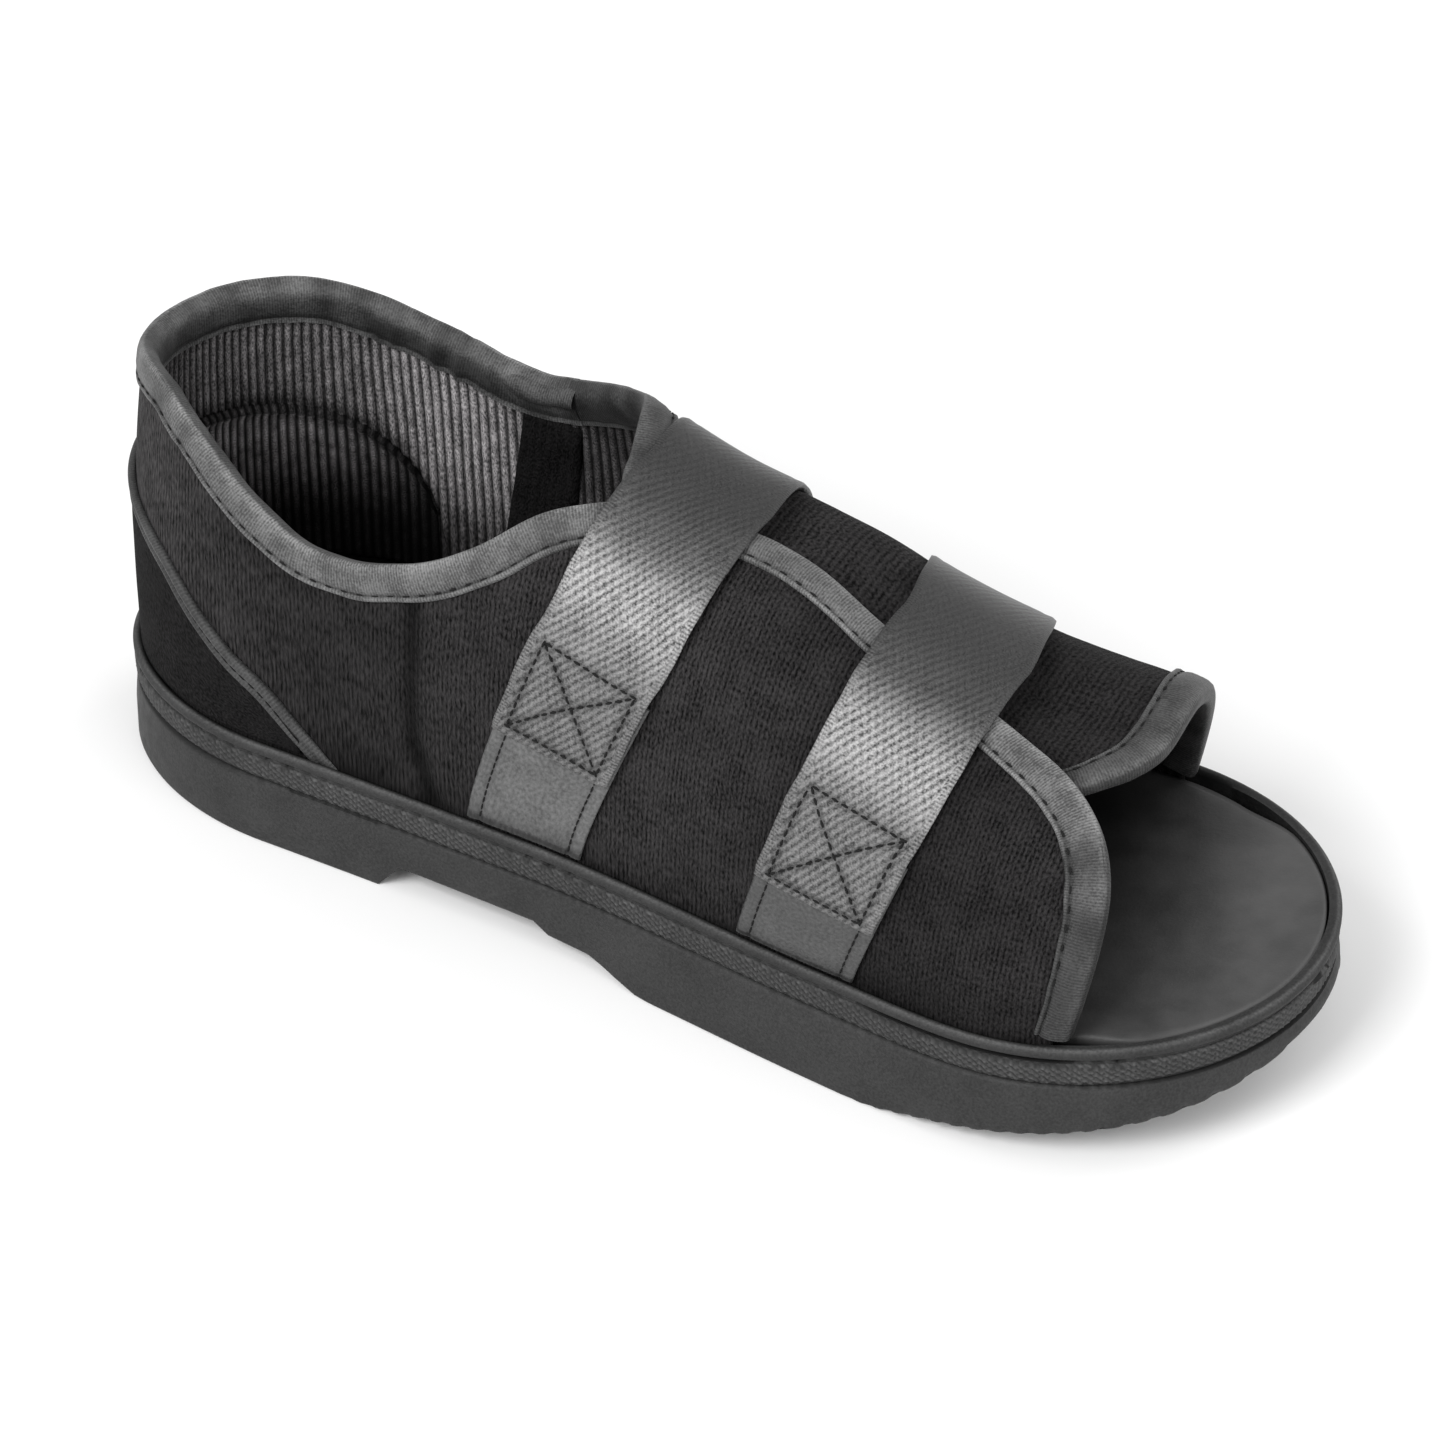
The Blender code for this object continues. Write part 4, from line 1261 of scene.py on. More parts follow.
    def pocket_panel(self) -> bmesh.types.BMesh:
        """Ribbed panel inside the heel that holds the counter, with a turned top edge."""
        end = self.pocket_end
        places = steps(-end, end, self.pocket_columns)
        ups = [*steps(0.0, 0.94, self.pocket_rows), 0.96, 0.975, 0.99, 1.0]
        last = len(ups) - 1

        def rise_at(i: int, j: int) -> float:
            """Rise of the point above the sole."""
            return self.pocket.at(abs(places[i]) / FORM.length) * ups[j]

        def spot(i: int, j: int) -> Vector:
            """Point of the surface."""
            rise = rise_at(i, j)
            hem = 0.9 * MM * hump((1 - ups[j]) * 38 * MM - 1.2 * MM, 1.1 * MM)
            lift = 0.5 * MM if j == last else 1.3 * MM
            lift *= 1 - ramp(0.9 * end, end, abs(places[i]))
            out = -FORM.wall - self.lining_rib * (0.5 + self.rib(places[i], rise)) - lift - hem
            return FORM.wrap(places[i], FORM.share_at(places[i], rise), out)

        def flat(i: int, j: int) -> Spot:
            """Place of the point on the flat material."""
            return places[i], rise_at(i, j)

        def shade(i: int, j: int) -> float:
            """Tone of the point: painted shade low down, between the ribs and under the turned hem, and
            painted light towards the far side.
            """
            rise = rise_at(i, j)
            tone = 0.08 + 1.25 * ramp(10 * MM, 42 * MM, rise)
            tone *= 0.30 + 0.70 * hump(places[i] / FORM.length - 0.12, 0.11)
            speckle = 1.0 + 0.7 * roll(Vector((places[i], rise, 0)), 1.6 * MM, 12.0)
            hem = 1 - 0.85 * ramp(0.955, 0.975, ups[j])
            return (0.05 + 1.25 * self.rib(places[i], rise) ** 2) * tone * speckle * hem

        return grid(len(places), len(ups), spot, flat, shade)

    def rib(self, place: float, rise: float) -> float:
        """Height share of the lining's ribs, which sway a little."""
        lean = 0.6 * MM * roll(Vector((place, rise, 0)), 24 * MM, 4.0)
        wave = 0.5 + 0.5 * math.sin(2 * math.pi * (place + lean) / self.lining_pitch)
        return 1 - (1 - wave) ** 2

    def lining_shade(self, place: float, rise: float) -> float:
        """Tone of the lining, painted light and shade: pale ribs above the counter's pocket, painted
        shade below it, low down, between the ribs and on the near wall, a painted shadow along the
        pocket's edge and painted light on the far wall.
        """
        edge = rise - self.pocket.at(abs(place) / FORM.length)
        above = ramp(-0.5 * MM, 1.0 * MM, edge)
        pocket = 0.55 * ramp(-30 * MM, -2 * MM, edge) + 0.05
        zone = pocket + (1.0 - pocket) * above
        line = 1 - 0.55 * hump(edge, 2.2 * MM)
        deep = 0.25 + 0.75 * ramp(8 * MM, 34 * MM, rise)
        speckle = 1.0 + 0.55 * roll(Vector((place, rise, 0)), 1.3 * MM, 12.0)
        along = place / FORM.length
        lit = 1.0 + 1.2 * hump(along - 0.29, 0.07) - 0.62 * ramp(0.335, 0.36, along)
        lit *= 0.45 + 0.55 * ramp(-0.02, 0.06, along)
        return (0.03 + 0.97 * self.rib(place, rise) ** 1.5) * zone * line * deep * speckle * lit

    def hook_strip(self) -> bmesh.types.BMesh:
        """Dark strip of hook-and-loop on the inside of the far quarter."""
        ups = steps(0.0, 1.0, self.strip_rows)
        overs = steps(0.0, 1.0, self.strip_columns)

        def spot(i: int, j: int) -> Vector:
            """Point of the surface."""
            rise = 4 * MM + self.strip_tall * ups[i]
            back = 0.318 * FORM.length + 9 * MM * ups[i]
            place = back + overs[j] * (17.5 * MM - 3 * MM * ups[i])
            share = FORM.share_at(place, rise)
            edge = min(overs[j], 1 - overs[j], ups[i], 1 - ups[i])
            lift = 0.4 * MM + 0.7 * MM * ramp(0.0, 0.1, edge)
            fuzz = 0.15 * MM * roll(Vector((place, rise, 0)), 1.6 * MM, 7.0)
            return FORM.wrap(place, share, -FORM.wall - self.lining_rib - lift + fuzz)

        def flat(i: int, j: int) -> Spot:
            """Place of the point on the flat material."""
            return overs[j] * 17 * MM, ups[i] * self.strip_tall

        return grid(len(ups), len(overs), spot, flat)

    def build(self, shop: Workshop) -> None:
        """Make the outer cloth, the lining, the counter pocket and the strip inside."""
        outer = self.outer()
        turn_outwards(outer, inside_of)
        shop.piece("outer_cloth", outer, RibbedCloth("brushed_rib"), ["upper"], 70, self.outer_wall)
        lining = self.lining()
        turn_outwards(lining, lambda point: point * 2 - inside_of(point))
        ribs = RibbedCloth(
            "lining_rib", dark=0.045, light=0.27, pitch=self.lining_pitch,
            depth=0.25 * MM, rib_weight=0.0, fibre_weight=0.95, sheen=0.0,
            fibre=0.30 * MM, fibre_stretch=0.9,
        )
        shop.piece("lining", lining, ribs, (), 70, self.lining_wall)
        panel = self.pocket_panel()
        turn_outwards(panel, lambda point: point * 2 - inside_of(point))
        shop.piece("counter_pocket", panel, ribs, (), 70, self.lining_wall)
        strip = self.hook_strip()
        turn_outwards(strip, lambda point: point * 2 - inside_of(point))
        fuzz = RibbedCloth(
            "hook_fuzz", dark=0.001, light=0.016, depth=0.5 * MM, rib_weight=0.12,
            pitch=2.4 * MM, wander=5 * MM, sheen=0.0,
        )
        shop.piece("hook_strip", strip, fuzz, (), 60, 0.8 * MM)


@dataclass
class Stitching:
    """Runs of stitches, each a short thread sunk in the cloth."""

    pitch: float = 2.2 * MM
    length: float = 1.6 * MM
    width: float = 0.46 * MM
    height: float = 0.34 * MM
    mesh: bmesh.types.BMesh = field(default_factory=bmesh.new)

    def run(self, points: Sequence[Vector], normals: Sequence[Vector]) -> None:
        """Lay stitches along a line.

        Args:
            points: close points of the line.
            normals: direction out of the cloth at each.
        """
        travelled = 0.0
        due = self.pitch / 2
        for before, after, out in zip(points, points[1:], normals):
            gap = (after - before).length
            while gap > 0 and travelled + gap >= due:
                t = (due - travelled) / gap
                self.stitch(before.lerp(after, t), (after - before).normalized(), out)
                due += self.pitch
            travelled += gap

    def stitch(self, centre: Vector, along: Vector, out: Vector) -> None:
        """Add one stitch."""
        skew = 0.10 * roll(centre, 1.3 * MM, 21.0)
        side = out.cross(along).normalized()
        along = (along + skew * side).normalized()
        side = out.cross(along).normalized()
        up = along.cross(side)
        turn = Matrix((along, side, up)).transposed().to_4x4()
        size = Matrix.Diagonal((self.length / 2, self.width / 2, self.height / 2, 1.0))
        place = Matrix.Translation(centre) @ turn @ size
        bmesh.ops.create_uvsphere(self.mesh, u_segments=6, v_segments=4, radius=1.0, matrix=place)

    def build(self, shop: Workshop, name: str) -> None:
        """Make one piece of all the stitches."""
        self.mesh.loops.layers.uv.verify()
        bmesh.ops.recalc_face_normals(self.mesh, faces=self.mesh.faces)
        shop.piece(name, self.mesh, Thread("sewing_thread"), (), 80)


@dataclass(frozen=True)
class Binding:
    """Tape folded over one edge of the upper."""

    name: str
    node: str
    edge: list[Spot]
    toward: Spot | None = None
    dimples: tuple[tuple[float, float, float, float], ...] = ()
    seed: float = 0.0
    # painted shade on the tape's inner face, inside the shoe
    inner_shade: float = 0.44
    soften: int = 2
    taper: float = 0.0
    thinner: float = 0.0
    crumple: float = 1.0
    end_tone: float = 1.0
    corner_tone: float = 0.0
    width: float = 7.2 * MM
    tape: float = 0.6 * MM
    gap: float = 0.45 * MM
    back_gap: float = 0.65 * MM
    lip: float = 1.25 * MM
    pitch: float = 1.1 * MM

    def inward(self, spots: list[Spot], index: int) -> Spot:
        """Change of place and share for one metre across the cloth from its edge."""
        place, share = spots[index]
        here = FORM.wrap(place, share)
        before = FORM.wrap(*spots[max(0, index - 3)])
        after = FORM.wrap(*spots[min(len(spots) - 1, index + 3)])
        nudge, tilt = 0.5 * MM, 0.002
        by_place = (FORM.wrap(place + nudge, share) - FORM.wrap(place - nudge, share)) / (2 * nudge)
        by_share = (FORM.wrap(place, share + tilt) - FORM.wrap(place, share - tilt)) / (2 * tilt)
        across = by_place.cross(by_share).cross(after - before).normalized()
        target = self.toward if self.toward else (place, 0.0)
        if across.dot(FORM.wrap(*target) - here) < 0:
            across.negate()
        a, b, c = by_place.dot(by_place), by_place.dot(by_share), by_share.dot(by_share)
        p, q = across.dot(by_place), across.dot(by_share)
        scale = a * c - b * b
        return (c * p - b * q) / scale, (a * q - b * p) / scale

    @cached_property
    def spaced(self) -> list[Spot]:
        """Spots of the edge about a pitch apart."""
        kept = [self.edge[0]]
        for spot in self.edge[1:]:
            if (FORM.wrap(*spot) - FORM.wrap(*kept[-1])).length >= self.pitch:
                kept.append(spot)
        last = len(kept) - 1
        soft = []
        for i in range(last + 1):
            reach = min(self.soften, i, last - i)
            near = kept[i - reach:i + reach + 1]
            soft.append((sum(n[0] for n in near) / len(near), sum(n[1] for n in near) / len(near)))
        return soft

    @cached_property
    def ways(self) -> list[float]:
        """Way along the edge at each spot."""
        total = [0.0]
        for one, two in zip(self.spaced, self.spaced[1:]):
            total.append(total[-1] + (FORM.wrap(*two) - FORM.wrap(*one)).length)
        return total

    @cached_property
    def inwards(self) -> list[Spot]:
        """Inward change at each spot, smoothed along the edge."""
        raw = [self.inward(self.spaced, i) for i in range(len(self.spaced))]
        smooth = []
        for i in range(len(raw)):
            near = raw[max(0, i - 4):i + 5]
            smooth.append((sum(n[0] for n in near) / len(near), sum(n[1] for n in near) / len(near)))
        return smooth

    def profile(self) -> list[Spot]:
        """Section of the tape: (way in from the edge, height over the outer face)."""
        face, back = self.gap, -FORM.wall - self.back_gap
        w, t = self.width, self.tape
        seam = w - self.lip
        return [
            (w, face - 0.35 * MM), (w + 0.05 * MM, face + 0.25 * MM),
            (w - 0.25 * MM, face + 0.62 * MM),
            (w - 0.7 * MM, face + 0.66 * MM), (seam + 0.2 * MM, face + 0.45 * MM),
            (seam, face + 0.22 * MM), (seam - 0.3 * MM, face + 0.36 * MM),
            (seam - 0.9 * MM, face + 0.62 * MM), (seam - 1.8 * MM, face + 0.78 * MM),
            (seam - 3.0 * MM, face + 0.84 * MM), (seam - 4.2 * MM, face + 0.80 * MM),
            (seam - 5.2 * MM, face + 0.62 * MM), (-0.35 * MM, face + 0.30 * MM),
            (-0.80 * MM, face - 0.15 * MM), (-1.05 * MM, face - 0.70 * MM),
            (-1.10 * MM, 0.5 * (face + back)), (-1.05 * MM, back + 0.70 * MM),
            (-0.80 * MM, back + 0.15 * MM), (-0.35 * MM, back - 0.30 * MM),
            (0.8 * MM, back - t), (2.4 * MM, back - t - 0.12 * MM), (4.2 * MM, back - t - 0.08 * MM),
            (seam - 0.2 * MM, back - t), (seam + 0.1 * MM, back - 0.3 * MM),
            (seam + 0.5 * MM, back - t), (w, back - t + 0.1 * MM), (w, back + 0.35 * MM),
            (0.5 * w, back + 0.05 * MM), (-self.gap, back),
            (-self.gap, face), (0.5 * w, face - 0.1 * MM),
        ]

    def uneven(self, way: float, across: float) -> float:
        """Soft unevenness of the sewn tape at a way along it."""
        wave = 0.28 * MM * roll(Vector((way, across, 0)), 11 * MM, self.seed)
        wave += 0.12 * MM * roll(Vector((way, across * 2, 0)), 3.2 * MM, self.seed + 3)
        return wave - sum(depth * hump(way - at, reach) for at, reach, depth in self.dents)

    @cached_property
    def dents(self) -> list[tuple[float, float, float]]:
        """Way, reach and depth of each dimple."""
        found = []
        for along, share, reach, depth in self.dimples:
            centre = FORM.wrap(along * FORM.length, share)
            gaps = [(FORM.wrap(*spot) - centre).length for spot in self.spaced]
            found.append((self.ways[gaps.index(min(gaps))], reach, depth))
        return found

    def spot(self, index: int, across: float, out: float) -> Vector:
        """Point of the tape over one spot of its edge."""
        place, share = self.spaced[index]
        d_place, d_share = self.inwards[index]
        if across > 0:
            across *= 1 - self.taper * ramp(0.72, 1.0, self.ways[index] / self.ways[-1])
        middle = -0.5 * FORM.wall
        out += self.thinner * math.copysign(1.0, middle - out)
        return FORM.wrap(place + d_place * across, share + d_share * across, out)

    def build(self, shop: Workshop, stitching: Stitching, finish: Finish) -> None:
        """Make the tape and lay its stitches."""
        section = self.profile()
        ring = section + section[:1]
        rounds = [0.0]
        for one, two in zip(ring, ring[1:]):
            rounds.append(rounds[-1] + math.hypot(two[0] - one[0], two[1] - one[1]))

        def spot(i: int, j: int) -> Vector:
            """Point of the surface."""
            across, out = ring[j]
            bulge = 0.0
            if out > self.gap:
                bulge = self.uneven(self.ways[i], across) * ramp(0.0, 0.3 * MM, out - self.gap)
                bulge = min(bulge, 0.22 * MM)
            if out < -FORM.wall - self.back_gap:
                bulge = -self.crumple * abs(self.uneven(self.ways[i], across + 20 * MM))
            side = 0.25 * MM * roll(Vector((self.ways[i], 0, 0)), 8 * MM, self.seed + 5)
            return self.spot(i, across + side * ramp(3 * MM, 7 * MM, across), out + bulge)

        def flat(i: int, j: int) -> Spot:
            """Place of the point on the flat material."""
            return self.ways[i], rounds[j]

        def shade(i: int, j: int) -> float:
            """Tone of the point: painted shade in the seam's groove, in the dimples and on the inner
            face, painted highlights on the folded edge, the lip and the inner face's lower edge.
            """
            across, out = ring[j]
            tone = 1.0 + 0.30 * roll(Vector((self.ways[i], across, 0)), 9 * MM, self.seed + 9)
            tone *= 1 - 0.45 * hump(across - (self.width - self.lip), 0.45 * MM)
            tone *= 1 + 0.55 * hump(across + 0.6 * MM, 1.4 * MM)
            tone *= 1 + 0.40 * hump(across - self.width + 0.4 * MM, 0.5 * MM)
            tone *= 1 + (self.end_tone - 1) * ramp(0.66, 0.86, self.ways[i] / self.ways[-1])
            tone *= 1 + self.corner_tone * hump(self.ways[i] / self.ways[-1] - 0.58, 0.10)
            for at, reach, depth in self.dents:
                tone *= 1 - 0.9 * depth / MM * hump(self.ways[i] - at, reach)
            if out < -0.2 * MM:
                fold = Vector((self.ways[i], across * 0.8, 0))
                tone *= self.inner_shade * (1 + 0.7 * roll(fold, 5 * MM, self.seed + 13))
                tone *= 1 + 1.3 * hump(across - self.width, 0.8 * MM)
            return tone

        mesh = grid(len(self.spaced), len(ring), spot, flat, shade)
        close(mesh)
        shop.piece(self.name, mesh, finish, [self.node], 70)
        seam = self.width - self.lip
        line, outs = [], []
        for i in range(len(self.spaced)):
            line.append(self.spot(i, seam, self.gap + 0.42 * MM))
            outs.append(self.spot(i, seam, 2 * MM) - self.spot(i, seam, 0.0))
        stitching.run(line, outs)


@dataclass(frozen=True)
class Bindings:
    """The four lengths of edge tape."""

    fine: int = 700
    foot_rise: float = 0.6 * MM
    roll_radius: float = 1.9 * MM
    roll_columns: int = 34
    roll_rows: int = 16
    collar_dimples: tuple[tuple[float, float, float, float], ...] = (
        (0.226, 0.31, 1.8 * MM, 0.45 * MM), (0.240, 0.30, 1.5 * MM, 0.40 * MM),
        (0.279, 0.28, 2.2 * MM, 0.45 * MM), (0.298, 0.28, 1.2 * MM, 0.50 * MM),
        (-0.160, 0.33, 3.5 * MM, 0.35 * MM), (-0.196, 0.30, 1.5 * MM, 0.30 * MM),
    )
    flap_dimples: tuple[tuple[float, float, float, float], ...] = (
        (-0.925, 0.53, 5.5 * MM, 0.50 * MM), (-0.945, 0.43, 2.5 * MM, -0.40 * MM),
        (-0.948, 0.36, 3.0 * MM, 0.35 * MM),
    )
    split_at: float = 0.425 * FORM.length + 22 * MM

    def build(self, shop: Workshop) -> None:
        """Make the tapes and their stitches."""
        stitching = Stitching(pitch=3.7 * MM, length=1.7 * MM, width=0.5 * MM)
        tape = TapeCloth("edge_tape")
        # darker copy of the edge tape, painted shade, for the far flap's rear edge and the rolled end
        shaded_tape = TapeCloth("shaded_inner_tape", dark=0.016, light=0.072)
        split = FORM.place_of(self.split_at)
        collar_end = 0.402 * FORM.length
        collar = [(p, FORM.top_share(p)) for p in steps(-split + 0.6 * MM, collar_end, self.fine)]
        corner = FORM.place_of(FORM.corner(Side.NEAR))
        top = [(-p, FORM.top_share(-p)) for p in steps(split + 0.6 * MM, corner, self.fine)]
        foot = FORM.share_at(corner, self.foot_rise)
        front = [
            (FORM.front_place(Side.NEAR, share), share)
            for share in steps(top[-1][1], foot, self.fine // 2)[1:]
        ]
        far_foot = FORM.share_at(FORM.place_of(FORM.corner(Side.FAR)), self.foot_rise)
        far = [(FORM.front_place(Side.FAR, s), s) for s in steps(far_foot, 1.245, self.fine)]
        rear = [
            (p, FORM.top_share(p))
            for p in steps(collar_end - 2 * MM, 0.537 * FORM.length, self.fine)
        ]
        near_toward = (-FORM.place_of(0.72 * FORM.length), 0.3)
        lengths = [
            Binding(
                "collar_tape", "collar_binding", collar, None, self.collar_dimples, 1.0, crumple=1.7,
            ),
            Binding(
                "near_flap_tape", "near_flap_binding", top + front, near_toward,
                self.flap_dimples, 2.0, soften=9, taper=0.24, end_tone=0.30, corner_tone=0.35,
            ),
        ]
        for length in lengths:
            length.build(shop, stitching, tape)
        front_tape = Binding(
            "far_front_tape", "far_flap_front_binding", far, (FORM.place_of(0.7 * FORM.length), 0.6),
            (), 3.0, soften=7, taper=0.42,
        )
        # darker copy of the edge tape, painted shade, for the far flap's front edge
        front_tape.build(shop, stitching, TapeCloth("front_tape", dark=0.014, light=0.062))
        rear_tape = Binding(
            "far_rear_tape", "far_flap_rear_binding", rear, (FORM.place_of(0.72 * FORM.length), 0.6),
            (), 4.0, thinner=0.15 * MM,
        )
        rear_tape.build(shop, stitching, shaded_tape)
        stitching.build(shop, "tape_stitches")
        self.rolled_end(shop, shaded_tape)

    def rolled_end(self, shop: Workshop, finish: Finish) -> None:
        """Make the rolled end of the collar's tape, inside the far edge."""
        places = steps(0.325 * FORM.length, 0.404 * FORM.length, self.roll_columns)
        turns = steps(0.0, 2 * math.pi, self.roll_rows)
        last = len(places) - 1

        def spot(i: int, j: int) -> Vector:
            """Point of the surface."""
            held = min(max(i, 1), last - 1)
            place = places[held]
            round_end = ramp(0.0, 0.3, held / last)
            radius = self.roll_radius * round_end if 0 < i < last else 0.0
            depth = 0.9 * MM if i == last else 0.0
            across = 0.5 * MM + radius * math.cos(turns[j])
            out = -FORM.wall - 0.9 * MM + radius * math.sin(turns[j])
            share = FORM.top_share(place) - across / (144 * MM)
            return FORM.wrap(place - depth, share, out)

        def flat(i: int, j: int) -> Spot:
            """Place of the point on the flat material."""
            return places[i], turns[j] * self.roll_radius

        def shade(i: int, j: int) -> float:
            """Tone of the point: painted light and shade round the tube, lighter on its side towards the
            edge, and painted shade in its open end.
            """
            return 0.06 if i == last else 0.75 - 0.45 * math.cos(turns[j])

        tube = grid(len(places), len(turns), spot, flat, shade)
        close(tube)
        shop.piece("rolled_tape_end", tube, finish, (), 50)


@dataclass(frozen=True)
class Counter:
    """Heel cover and the raised double seam along its top."""

    height: float = 41.0 * MM
    thickness: float = 0.8 * MM
    clearance: float = 0.35 * MM
    columns: int = 150
    rows: int = 30
    seam_columns: int = 260
    line: Curve = Curve((
        (-0.10, 1.00), (0.00, 1.00), (0.113, 0.92), (0.168, 0.80),
        (0.210, 0.58), (0.240, 0.42), (0.265, 0.31), (0.300, 0.09),
    ))

    @cached_property
    def seam_line(self) -> Curve:
        """The cover's top line, carried on down behind the sole's bead."""
        return Curve((*self.line.rows, (0.330, -0.10)))

    def top(self, place: float) -> float:
        """Rise of the seam above the sole's edge."""
        return self.height * self.seam_line.at(abs(place) / FORM.length)

    def panel(self) -> bmesh.types.BMesh:
        """Face of the cover."""
        end = self.line.rows[-1][0] * FORM.length
        places = steps(-end, end, self.columns)
        ups = steps(0.0, 1.0, self.rows)
        foot = 0.6 * MM

        def spot(i: int, j: int) -> Vector:
            """Point of the surface."""
            rise = foot + (self.top(places[i]) - foot) * ups[j]
            share = FORM.share_at(places[i], rise)
            wave = 0.22 * MM * roll(Vector((places[i], rise, 0)), 14 * MM, 6.0)
            wave *= ramp(0.0, 0.2, min(ups[j], 1 - ups[j]))
            return FORM.skin(places[i], share, self.clearance + self.thickness + wave)

        def flat(i: int, j: int) -> Spot:
            """Place of the point on the flat material."""
            return places[i], ups[j] * HALF_SOLE

        return grid(len(places), len(ups), spot, flat)

    def seam_spot(self, place: float, across: float, out: float) -> Vector:
        """Point of the raised seam, across being the way above the cover's top line."""
        slope = 0.5 * MM
        rise = self.top(place)
        steep = (self.top(place + slope) - self.top(place - slope)) / (2 * slope)
        tilt = 1 / math.hypot(1.0, steep)
        shift = -steep * tilt * across
        at = place + shift
        level = rise + across * tilt
        point = FORM.skin(at, FORM.share_at(at, level), out)
        return point + Vector((0, 0, min(0.0, level)))

    def build(self, shop: Workshop) -> None:
        """Make the cover, its seam and stitches."""
        panel = self.panel()
        turn_outwards(panel, inside_of)
        plain = RibbedCloth(
            "counter_cloth", dark=0.0005, light=0.013, depth=0.30 * MM, rib_weight=0.05,
            fibre_weight=0.85, fibre=0.7 * MM, sheen=0.006,
        )
        shop.piece("heel_cover", panel, plain, ["heel_counter"], 70, self.thickness)
        end = self.seam_line.rows[-1][0] * FORM.length
        places = steps(-end, end, self.seam_columns)
        base = self.clearance + self.thickness
        section = [
            (-1.5 * MM, base - 0.5 * MM), (-1.5 * MM, base + 0.15 * MM), (-1.1 * MM, base + 0.45 * MM),
            (-0.6 * MM, base + 0.45 * MM), (-0.1 * MM, base + 0.05 * MM), (0.15 * MM, base - 0.1 * MM),
            (0.4 * MM, base + 0.1 * MM), (0.9 * MM, base + 0.6 * MM), (1.5 * MM, base + 0.75 * MM),
            (2.1 * MM, base + 0.6 * MM), (2.6 * MM, base + 0.1 * MM), (2.8 * MM, base - 0.6 * MM),
            (2.6 * MM, 0.1 * MM), (0.3 * MM, 0.1 * MM), (-1.5 * MM, base - 0.5 * MM),
        ]

        def spot(i: int, j: int) -> Vector:
            """Point of the surface."""
            across, out = section[j]
            fade = ramp(0.0, 16 * MM, end - abs(places[i]))
            return self.seam_spot(places[i], across, 0.1 * MM + (out - 0.1 * MM) * (0.45 + 0.55 * fade))

        def flat(i: int, j: int) -> Spot:
            """Place of the point on the flat material."""
            return places[i], j * 0.5 * MM

        seam = grid(len(places), len(section), spot, flat)
        close(seam)
        shop.piece("counter_seam", seam, TapeCloth("seam_tape", dark=0.016, light=0.046), (), 70)
        stitching = Stitching(pitch=2.6 * MM, length=1.9 * MM, width=0.42 * MM, height=0.3 * MM)
        sewn = places[18:-18]
        line = [self.seam_spot(p, 0.12 * MM, base + 0.12 * MM) for p in sewn]
        outs = [self.seam_spot(p, 0.12 * MM, base + 2 * MM) - q for p, q in zip(sewn, line)]
        stitching.run(line, outs)
        stitching.build(shop, "counter_stitches")


